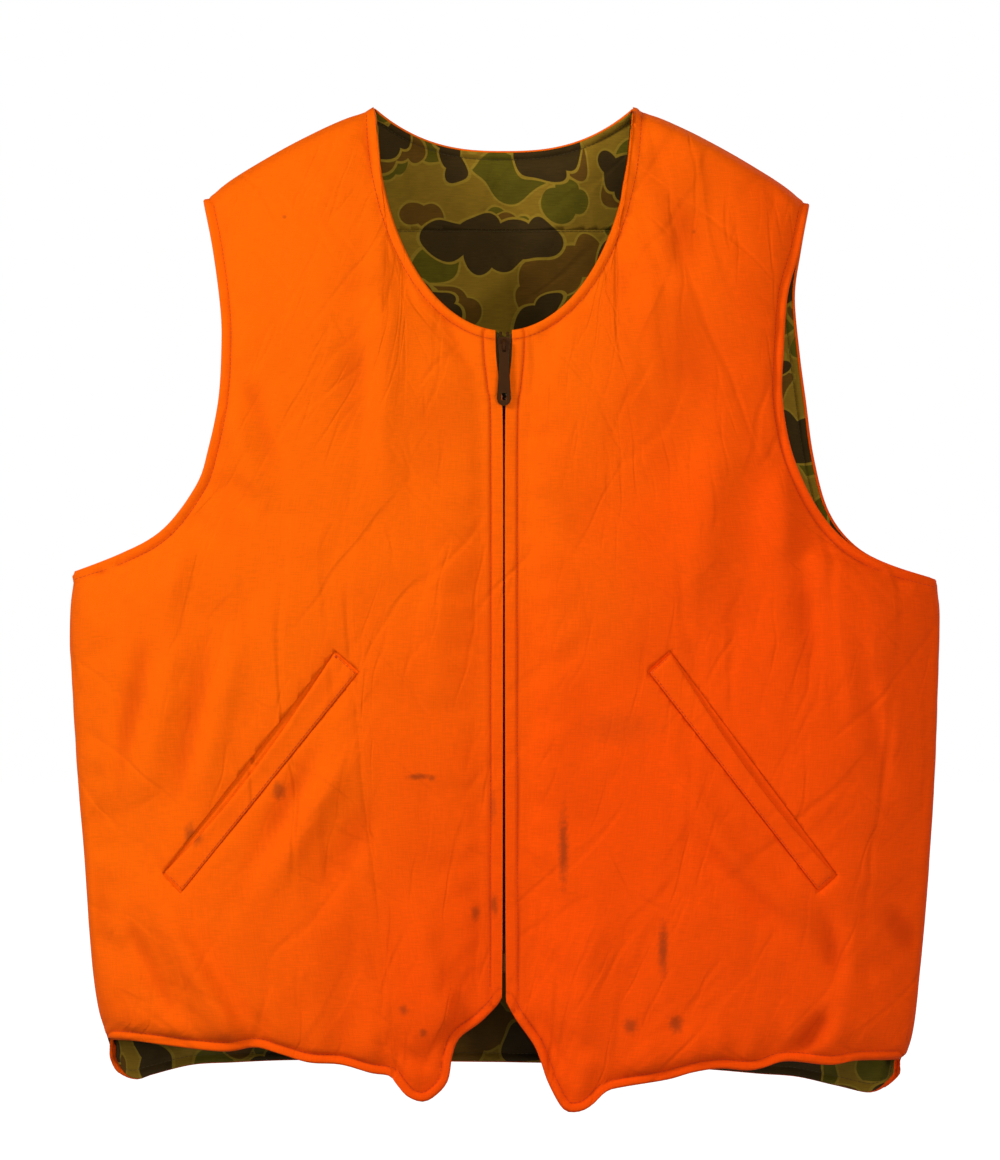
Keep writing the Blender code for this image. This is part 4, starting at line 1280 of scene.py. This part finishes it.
    def finish(self, colour, roughness=None, height=None, strength=0.4, distance=0.0003, crumple=0.0):
        """Join colour, roughness and bump to the surface, over creases `crumple` metres deep."""
        self.tree.links.new(colour, self.surface.inputs["Base Color"])
        if roughness is not None:
            self.tree.links.new(roughness, self.surface.inputs["Roughness"])
        if height is not None:
            inputs = {"Height": height, "Strength": strength, "Distance": distance}
            if crumple:
                wide = {"Height": self.crumpled(), "Strength": 1.0, "Distance": crumple}
                inputs["Normal"] = self.add("ShaderNodeBump", wide).outputs[0]
            bump = self.add("ShaderNodeBump", inputs)
            self.tree.links.new(bump.outputs[0], self.surface.inputs["Normal"])
        return self.material


# Stains on the orange, at signed (x, z): half width, half height, slant and strength.
STAINS = [
    (-0.154, -0.479, 0.0050, 0.0070, 0.5, 0.55),
    (-0.215, -0.510, 0.0045, 0.0080, -0.6, 0.55),
    (-0.059, -0.4690, 0.0085, 0.0022, 0.1, 0.60),
    (-0.050, -0.4700, 0.0030, 0.0022, 0.0, 0.50),
    (0.0410, -0.5180, 0.0034, 0.0260, 0.02, 0.62),
    (0.1090, -0.5890, 0.0034, 0.0185, 0.12, 0.60),
    (0.0870, -0.6420, 0.0050, 0.0058, 0.0, 0.55),
    (0.1180, -0.6410, 0.0048, 0.0062, 0.0, 0.62),
    (-0.0200, -0.5640, 0.0034, 0.0060, 0.0, 0.50),
    (-0.0070, -0.5590, 0.0032, 0.0075, 0.1, 0.55),
    (-0.0690, -0.6310, 0.0034, 0.0036, 0.0, 0.50),
    (-0.0560, -0.6470, 0.0030, 0.0030, 0.0, 0.50),
    (-0.0080, -0.4900, 0.0026, 0.0120, 0.0, 0.35),
    (0.0780, -0.4350, 0.0260, 0.0120, 0.2, 0.16),
    (-0.1500, -0.0800, 0.0016, 0.0014, 0.0, 0.45),
    (0.1300, -0.0900, 0.0014, 0.0014, 0.0, 0.40),
]


def stain_mask(shader):
    """How stained the cloth is at each place: soft-edged spots with ragged outlines."""
    ragged = shader.noise(260.0, 4.0, 0.65)
    wobble = shader.times(shader.math("SUBTRACT", ragged, 0.5), 1.5)
    across, _, up = shader.parts(shader.front)
    flat = shader.add("ShaderNodeCombineXYZ", {0: across, 1: up}).outputs[0]
    total = None
    for x, z, half_width, half_height, slant, strength in STAINS:
        centred = shader.vector("ADD", flat, (-x, -z, 0.0))
        local = shader.moved((1 / half_width, 1 / half_height, 0.0), turn=slant, vector=centred)
        far = shader.measure("LENGTH", local)
        spot = shader.span(shader.plus(far, wobble), 1.45, 0.15, 0.0, strength)
        total = spot if total is None else shader.math("MAXIMUM", total, spot)
    return total


# Creases of worn cloth besides the long ones: how many to the metre, turn, offset and depth.
FINE_CREASES = [(13.0, 0.75, 4.4, 0.55), (16.0, -0.95, 7.9, 0.45), (22.0, 0.25, 1.3, 0.35)]
CRUMPLE_DEPTH = 0.0010
LINING_CRUMPLE_DEPTH = 0.0007
CLOTH_BUMP = 0.32
CLOTH_RELIEF = 0.00022
WEAVE_PITCH = 0.00085
BRIGHT_ORANGE = (0.95, 0.128, 0.0012)
# darker orange for the painted shade towards the lower right, and for random fading
SHADE_AND_FADE_ORANGE = (0.89, 0.069, 0.0010)
SOILED_ORANGE = (0.58, 0.055, 0.0030)
# colour of the painted shade along the topstitching and in the folds' valleys
PAINTED_SHADE_ORANGE = (0.45, 0.026, 0.0010)
STAIN_BROWN = (0.17, 0.030, 0.0060)
KHAKI = (0.222, 0.124, 0.0088)
KHAKI_LINE = (0.255, 0.156, 0.0125)
# Printed colours, lowest first: colour, size of the repeat, its turn, and the shapes in it. A shape is a
# list of circles (x, z, radius): lobed where they are joined, a leaf where only their overlap is printed.
CAMO_LAYERS = [
    ((0.082, 0.063, 0.0030), (0.106, 0.119), 0.45, [
        ("MINIMUM", [(-0.021, 0.006, 0.032), (0.019, 0.000, 0.032)]),
        ("MAXIMUM", [(0.034, 0.040, 0.013), (0.021, 0.047, 0.011), (0.044, 0.049, 0.009)]),
        ("MINIMUM", [(0.026, -0.056, 0.031), (0.022, -0.024, 0.031)]),
        ("MAXIMUM", [(-0.040, -0.044, 0.013), (-0.030, -0.034, 0.011), (-0.043, -0.030, 0.008)]),
    ]),
    ((0.100, 0.045, 0.0040), (0.112, 0.124), -0.30, [
        ("MAXIMUM", [(0.000, 0.002, 0.020), (0.023, 0.007, 0.015), (-0.019, -0.009, 0.013),
                     (0.038, -0.003, 0.010)]),
        ("MAXIMUM", [(-0.042, 0.047, 0.013), (-0.027, 0.050, 0.011)]),
        ("MAXIMUM", [(0.040, -0.050, 0.011), (0.028, -0.044, 0.010)]),
    ]),
    ((0.036, 0.0200, 0.0040), (0.130, 0.112), 0.12, [
        ("MAXIMUM", [(-0.034, 0.020, 0.016), (-0.012, 0.028, 0.014), (0.012, 0.020, 0.019),
                     (-0.010, 0.012, 0.013), (0.034, 0.024, 0.013)]),
        ("MAXIMUM", [(0.034, -0.034, 0.015), (0.050, -0.024, 0.011)]),
        ("MAXIMUM", [(-0.036, -0.032, 0.010), (-0.028, -0.042, 0.009), (-0.044, -0.023, 0.007)]),
    ]),
]
CAMO_LINE = 0.0019           # width of the light line round a printed shape
CAMO_EDGE = 0.0002           # how soft the print's outlines are
CAMO_BEND = 0.045            # how far the printed outlines are bent out of round


def shaded(colour, factor):
    """A colour made darker or lighter."""
    return tuple(min(1.0, factor * part) for part in colour)


def orange_cloth(name, stained):
    """Washed blaze-orange cotton: plain weave, slubs, faded and soiled unevenly, stained on the front, with
    painted shade towards the lower right, along the topstitching and in the folds' valleys.
    """
    shader = Shader(name, 0.82, specular=0.02, sheen=(0.06, 0.45), tint=(1.0, 0.22, 0.02))
    weave = shader.weave(WEAVE_PITCH)
    slubs = shader.noise(1.0, 2.0, vector=shader.moved((90.0, 1500.0, 1.0)))
    slubs_up = shader.noise(1.0, 2.0, vector=shader.moved((1300.0, 70.0, 1.0)))
    broad = shader.noise(9.0, 3.0)
    patches = shader.noise(38.0, 4.0, 0.6, offset=3.1)
    across, up, _ = shader.parts(shader.place)
    # Painted shade: darker and redder towards the lower right, with random fading over it.
    corner = shader.plus(shader.times(across, 0.9), shader.times(up, -0.85))
    wear_and_painted_shade = shader.plus(shader.span(corner, 0.0, 0.75), shader.times(broad, 0.35))
    colour = shader.mix(shader.span(wear_and_painted_shade, 0.15, 1.0), BRIGHT_ORANGE, SHADE_AND_FADE_ORANGE)
    soil = shader.times(shader.span(patches, 0.50, 0.78), shader.span(up, -0.30, -0.66))
    colour = shader.mix(shader.times(soil, 0.20), colour, SOILED_ORANGE)
    threads = shader.plus(shader.times(slubs, 0.6), shader.times(slubs_up, 0.4))
    grain = shader.plus(shader.span(threads, 0.30, 0.72, 0.90, 1.05), shader.times(weave, 0.05))
    colour = shader.mix(1.0, colour, shader.grey(grain), blend="MULTIPLY")
    if stained:
        colour = shader.mix(stain_mask(shader), colour, STAIN_BROWN)
    # Painted shade along the topstitching and in the folds' valleys.
    _, painted_shade, _ = shader.parts(shader.front)
    colour = shader.mix(shader.times(painted_shade, 0.62), colour, PAINTED_SHADE_ORANGE)
    fine = shader.times(shader.noise(260.0, 3.0, offset=1.7), 1.2)
    height = shader.plus(shader.plus(weave, shader.times(threads, 1.6)), fine)
    roughness = shader.span(patches, 0.2, 0.9, 0.76, 0.88)
    return shader.finish(colour, roughness, height, CLOTH_BUMP, CLOTH_RELIEF, CRUMPLE_DEPTH)


def shape_field(shader, place, repeat, turn, shapes):
    """How far inside the nearest printed shape of one colour each place is; negative outside."""
    turned = shader.moved((1.0, 1.0, 0.0), turn=turn, vector=place)
    high = (repeat[0] / 2, repeat[1] / 2, 1.0)
    low = tuple(-part for part in high)
    wrapped = shader.vector("WRAP", turned, high, low)
    field = None
    for joined, circles in shapes:
        shape = None
        for x, z, radius in circles:
            inside = shader.math("SUBTRACT", radius, shader.measure("DISTANCE", wrapped, (x, z, 0.0)))
            shape = inside if shape is None else shader.math(joined, shape, inside)
        field = shape if field is None else shader.math("MAXIMUM", field, shape)
    return field


def camo_cloth(name):
    """Cotton printed with overlapping lobed shapes, each with a thin light line round it."""
    shader = Shader(name, 0.86, specular=0.06, sheen=(0.05, 0.5), tint=(0.42, 0.30, 0.08))
    warp = shader.add("ShaderNodeTexNoise", {"Vector": shader.place, "Scale": 17.0, "Detail": 1.0})
    centred = shader.vector("SUBTRACT", warp.outputs["Color"], (0.5, 0.5, 0.5))
    bent = shader.add("ShaderNodeVectorMath", {0: centred, "Scale": CAMO_BEND}, operation="SCALE").outputs[0]
    place = shader.vector("ADD", shader.place, bent)
    wear_and_painted_shade = shader.noise(60.0, 4.0, 0.6, offset=8.0)
    colour = shader.mix(shader.span(wear_and_painted_shade, 0.3, 0.8), KHAKI, shaded(KHAKI, 0.86))
    for shade, repeat, turn, shapes in CAMO_LAYERS:
        field = shape_field(shader, place, repeat, turn, shapes)
        colour = shader.mix(shader.span(field, -CAMO_LINE, CAMO_EDGE - CAMO_LINE), colour, KHAKI_LINE)
        tone = shader.mix(shader.span(wear_and_painted_shade, 0.35, 0.75), shade, shaded(shade, 1.25))
        colour = shader.mix(shader.span(field, -CAMO_EDGE, CAMO_EDGE), colour, tone)
    weave = shader.weave(WEAVE_PITCH)
    slubs = shader.noise(1.0, 2.0, vector=shader.moved((110.0, 1400.0, 1.0)))
    grain = shader.plus(shader.span(slubs, 0.3, 0.7, 0.88, 1.08), shader.times(weave, 0.06))
    colour = shader.mix(1.0, colour, shader.grey(grain), blend="MULTIPLY")
    height = shader.plus(weave, shader.times(slubs, 1.5))
    roughness = shader.span(wear_and_painted_shade, 0.2, 0.9, 0.80, 0.92)
    return shader.finish(colour, roughness, height, CLOTH_BUMP, CLOTH_RELIEF, LINING_CRUMPLE_DEPTH)


def plain_cloth(name, colour, pitch, roughness):
    """A plain woven cloth, thread or tape in one dye, with uneven threads."""
    shader = Shader(name, roughness, specular=0.2, sheen=(0.10, 0.5), tint=colour)
    weave = shader.weave(pitch)
    uneven = shader.noise(420.0, 3.0)
    share = shader.plus(shader.times(weave, 0.6), shader.times(uneven, 0.4))
    tone = shader.mix(share, shaded(colour, 0.78), shaded(colour, 1.15))
    rough = shader.span(uneven, 0.2, 0.8, roughness - 0.06, roughness + 0.06)
    return shader.finish(tone, rough, shader.plus(weave, uneven), 0.5, 0.0002)


def wadding(name):
    """Polyester wadding: white, fibrous, soft."""
    shader = Shader(name, 0.95, specular=0.1, sheen=(0.3, 0.5))
    fibres = shader.noise(1.0, 4.0, 0.7, vector=shader.moved((700.0, 260.0, 300.0)))
    clumps = shader.noise(70.0, 3.0)
    colour = shader.mix(shader.span(clumps, 0.3, 0.7), (0.74, 0.73, 0.69), (0.86, 0.85, 0.81))
    return shader.finish(colour, shader.span(clumps, 0.2, 0.8, 0.88, 0.98), fibres, 0.6, 0.0006)


def enamelled_metal(name):
    """Olive-brown enamel on die-cast zinc, rubbed through along its edges."""
    shader = Shader(name, 0.55, specular=0.05)
    bevel = shader.add("ShaderNodeBevel", {"Radius": 0.0004}, samples=6).outputs[0]
    normal = shader.add("ShaderNodeNewGeometry").outputs["Normal"]
    turned = shader.measure("DOT_PRODUCT", bevel, normal)
    scuffs = shader.noise(900.0, 3.0, 0.6)
    edge = shader.times(shader.span(turned, 0.992, 0.93), shader.span(scuffs, 0.35, 0.62))
    mottled = shader.noise(160.0, 3.0)
    enamel = shader.mix(mottled, (0.036, 0.010, 0.0010), (0.052, 0.017, 0.0015))
    colour = shader.mix(shader.times(edge, 0.7), enamel, (0.16, 0.10, 0.04))
    shader.tree.links.new(shader.times(edge, 0.8), shader.surface.inputs["Metallic"])
    return shader.finish(colour, shader.span(scuffs, 0.2, 0.8, 0.46, 0.62), scuffs, 0.12, 0.00008)


def moulded_plastic(name):
    """Dark brown moulded teeth with a fine eroded grain."""
    shader = Shader(name, 0.45, specular=0.4)
    grain = shader.noise(1500.0, 2.0)
    dusty = shader.noise(90.0, 2.0)
    colour = shader.mix(shader.span(dusty, 0.35, 0.75), (0.028, 0.018, 0.007), (0.050, 0.034, 0.014))
    return shader.finish(colour, shader.span(grain, 0.2, 0.8, 0.38, 0.56), grain, 0.15, 0.00005)


# ---------------------------------------------------------------- putting it together
SHELL_THICKNESS = 0.00045
LINING_THICKNESS = 0.0004
YOKE_SEAM_Z = -0.085
YOKE_DIP = 0.0010            # how deep the seam lies
YOKE_FOLD = 0.0005           # how far the yoke's folded edge stands over the lining
YOKE_STITCHING = [(0.0, YOKE_SEAM_Z - 0.0012), (0.196, YOKE_SEAM_Z - 0.0012)]


def across_front(piece):
    """Bake a front piece's transform into its mesh."""
    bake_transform(piece)


def build_front(name, cloths, threads):
    """Everything of one front but its zip."""
    wall = Wall(name, True)
    shell = sheet_piece(f"{name}_front_shell", [wall], "shell", cloths["orange"])
    tree = tree_of(shell)
    lining = sheet_piece(f"{name}_front_lining", [wall], "lining", cloths["camo"])
    padding = padding_piece(f"{name}_front_padding", [wall], cloths["padding"])
    bag = pocket_bag(f"{name}_bag", wall, cloths["pocketing"])
    welt = welt_piece(name, tree, cloths["welt"])
    facing = facing_piece(name, tree, cloths["facing"])
    sign = SIDES[name]
    outside = [(sign, edge_stitching(wall.panel) + [placket_stitching(wall.panel)])]
    inside = [(sign, edge_stitching(wall.lining_panel))]
    on_welt = [(sign, welt_stitching(name))]
    stitching = sewn(f"{name}_front_stitching", outside, tree, 1, threads["orange"])
    lining_stitching = sewn(f"{name}_lining_stitching", inside, tree_of(lining), -1, threads["olive"])
    welt_threads = sewn(f"{name}_welt_stitching", on_welt, tree_of(welt), 1, threads["orange"])
    cut_window(shell, name)
    thicken(shell, SHELL_THICKNESS)
    thicken(lining, LINING_THICKNESS)
    for piece in (shell, lining, padding, stitching, lining_stitching):
        across_front(piece)
    for piece in (welt, facing, welt_threads, bag):
        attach(piece, "garment")
    for piece, layer, slot in ((shell, "shell", "shell_orange"), (lining, "lining", "lining_camo"),
                               (padding, "fill", "padding")):
        stand_for(piece, slot, f"{name}_front_side_{layer}", f"{name}_front_centre_{layer}")
    stand_for(bag, "pocketing", f"{name}_pocket_bag")
    stand_for(welt, "shell_orange", f"{name}_pocket_welt")


def build_back(cloths, threads):
    """The back: one shell, one wadding, and a lining in two pieces with a seam across."""
    walls = [Wall(name, False) for name in ("right", "left")]
    shell = sheet_piece("back", walls, "shell", cloths["orange_plain"])
    lining = sheet_piece("back_lining", walls, "lining", cloths["camo"])
    padding = padding_piece("back_padding", walls, cloths["padding"])
    outside = [(wall.panel.sign, edge_stitching(wall.panel)) for wall in walls]
    seam = even_line(np.array(YOKE_STITCHING))
    inside = [(sign, [*lines, seam]) for sign, lines in outside]
    stitching = sewn("back_stitching", outside, tree_of(shell), -1, threads["orange"])
    lining_stitching = sewn("back_lining_stitching", inside, tree_of(lining), 1, threads["olive"])
    yoke = split_at_seam(lining)
    thicken(shell, SHELL_THICKNESS)
    for piece in (lining, yoke):
        thicken(piece, LINING_THICKNESS)
    for piece in (shell, lining, yoke, padding, stitching, lining_stitching):
        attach(piece, "garment")
    stand_for(shell, "shell_orange", "back_shell")
    stand_for(lining, "lining_camo", "back_lining_lower")
    stand_for(yoke, "lining_camo", "back_lining_yoke")
    stand_for(padding, "padding", "back_fill")


def split_at_seam(lining):
    """Cut the yoke off the back lining along its seam; the yoke's lower edge is folded over the join."""
    yoke = linked("back_yoke_lining", lining.data.copy())
    yoke.data.name = yoke.name
    for piece, keep_above in ((lining, False), (yoke, True)):
        with edited(piece.data) as work:
            geometry = work.verts[:] + work.edges[:] + work.faces[:]
            bmesh.ops.bisect_plane(work, geom=geometry, plane_co=(0, 0, YOKE_SEAM_Z), plane_no=(0, 0, 1),
                                   clear_inner=keep_above, clear_outer=not keep_above)
            for vertex in work.verts:
                away = abs(vertex.co.z - YOKE_SEAM_Z)
                dip = YOKE_DIP * math.exp(-(away / 0.004) ** 2)
                fold = (YOKE_FOLD if keep_above else 0.0) * math.exp(-away / 0.006)
                vertex.co.y += dip - fold
    return yoke


def build_zip(materials):
    """Tapes, teeth, stops, box, pin, slider, bridge and puller."""
    for name in SIDES:
        tape = tape_piece(name, materials["tape"])
        teeth = teeth_piece(name, materials["teeth"])
        copied(f"{name}_top_stop", f"{name}_stop", f"{name}_front", STOP_BEVEL, materials["metal"])
        for piece, node in ((tape, "zip_tape"), (teeth, "zip_teeth")):
            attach(piece, f"{name}_front")
            stand_for(piece, node, f"{name}_{node}")
    for metal in METAL_PIECES:
        copied(*metal, materials["metal"])
    slider_piece(materials["metal"])


# ---------------------------------------------------------------- floor, lights and camera
CAMERA_DISTANCE = 9.0
SENSOR = 36.0
ROOM_LIGHT = 0.20
VIEW_HEIGHT = 0.812          # height of the picture in metres, where the front stands
FRONT_Y = -0.03
FLOOR_Z = -0.95
FLOOR_REACH = 30.0
FLOOR_COLOUR = (0.93, 0.93, 0.93)
FLOOR_GLOW = 0.92
VEST_MIDDLE = (0.0, 0.0, -0.35)
CAMERA_PLACE = (-0.0028, -CAMERA_DISTANCE, -0.3318)
# Square lights: name, place, width and watts.
LIGHTS = [
    ("key", (-3.0, -1.9, 1.2), 0.9, 96.0),
    ("front fill", (0.4, -3.5, 0.9), 1.8, 47.0),
    ("low fill", (1.7, -2.9, -0.7), 0.4, 27.0),
    ("back fill", (1.6, 2.8, 1.2), 1.6, 52.0),
]


def floor_paint():
    """Matt paint for the floor, slightly mottled, bright enough to run into the room."""
    shader = Shader("pale floor", 0.9, specular=0.1)
    shader.surface.inputs["Emission Color"].default_value = (1.0, 1.0, 1.0, 1.0)
    shader.surface.inputs["Emission Strength"].default_value = FLOOR_GLOW
    return shader.finish(shader.mix(shader.noise(3.0, 2.0), FLOOR_COLOUR, shaded(FLOOR_COLOUR, 0.985)))


def add_floor():
    """A wide pale floor below the vest."""
    corners = [(x * FLOOR_REACH, y * FLOOR_REACH, FLOOR_Z) for x, y in ((-1, -1), (1, -1), (1, 1), (-1, 1))]
    floor = add_piece("floor", corners, [(0, 1, 2, 3)], floor_paint())
    floor.visible_diffuse = False


def add_light(name, location, size, power):
    """A square soft light aimed at the vest."""
    lamp = bpy.data.lights.new(name, "AREA")
    lamp.size = size
    lamp.energy = power
    light = linked(name, lamp)
    light.location = location
    light.rotation_euler = (Vector(VEST_MIDDLE) - Vector(location)).to_track_quat("-Z", "Y").to_euler()


def add_studio():
    """A bright even room, soft lights from the upper left, in front and behind, and the camera."""
    scene = bpy.context.scene
    world = bpy.data.worlds.new("studio")
    world.use_nodes = True
    background = world.node_tree.nodes["Background"]
    background.inputs["Color"].default_value = (1.0, 1.0, 1.0, 1.0)
    seen = world.node_tree.nodes.new("ShaderNodeLightPath").outputs["Is Camera Ray"]
    strength = world.node_tree.nodes.new("ShaderNodeMapRange")
    strength.inputs["To Min"].default_value = ROOM_LIGHT
    strength.inputs["To Max"].default_value = 1.0
    world.node_tree.links.new(seen, strength.inputs["Value"])
    world.node_tree.links.new(strength.outputs[0], background.inputs["Strength"])
    scene.world = world
    for light in LIGHTS:
        add_light(*light)
    lens = bpy.data.cameras.new("camera")
    lens.sensor_width = SENSOR
    lens.lens = SENSOR * (CAMERA_DISTANCE + FRONT_Y) / VIEW_HEIGHT
    lens.clip_end = 100.0
    scene.camera = linked("camera", lens)
    scene.camera.location = CAMERA_PLACE
    scene.camera.rotation_euler = (math.pi / 2, 0.0, 0.0)
    scene.view_settings.view_transform = "Standard"


def build():
    """Make every piece and the studio around them."""
    cloths = {
        "orange": orange_cloth("blaze orange cotton", stained=True),
        "orange_plain": orange_cloth("blaze orange cotton, back", stained=False),
        "welt": orange_cloth("blaze orange cotton, welts", stained=True),
        "facing": orange_cloth("blaze orange cotton, facings", stained=False),
        "camo": camo_cloth("lobed camouflage cotton"),
        "padding": wadding("polyester wadding"),
        "pocketing": plain_cloth("cotton pocketing", (0.55, 0.50, 0.40), 0.0009, 0.85),
    }
    threads = {
        "orange": plain_cloth("orange thread", (0.50, 0.032, 0.0015), 0.0006, 0.7),
        "olive": plain_cloth("olive thread", (0.060, 0.040, 0.010), 0.0006, 0.7),
    }
    build_back(cloths, threads)
    for name in SIDES:
        build_front(name, cloths, threads)
    build_zip({
        "tape": plain_cloth("woven tape", (0.055, 0.030, 0.006), 0.0011, 0.8),
        "teeth": moulded_plastic("moulded teeth"),
        "metal": enamelled_metal("enamelled zinc"),
    })
    add_floor()
    add_studio()


build()
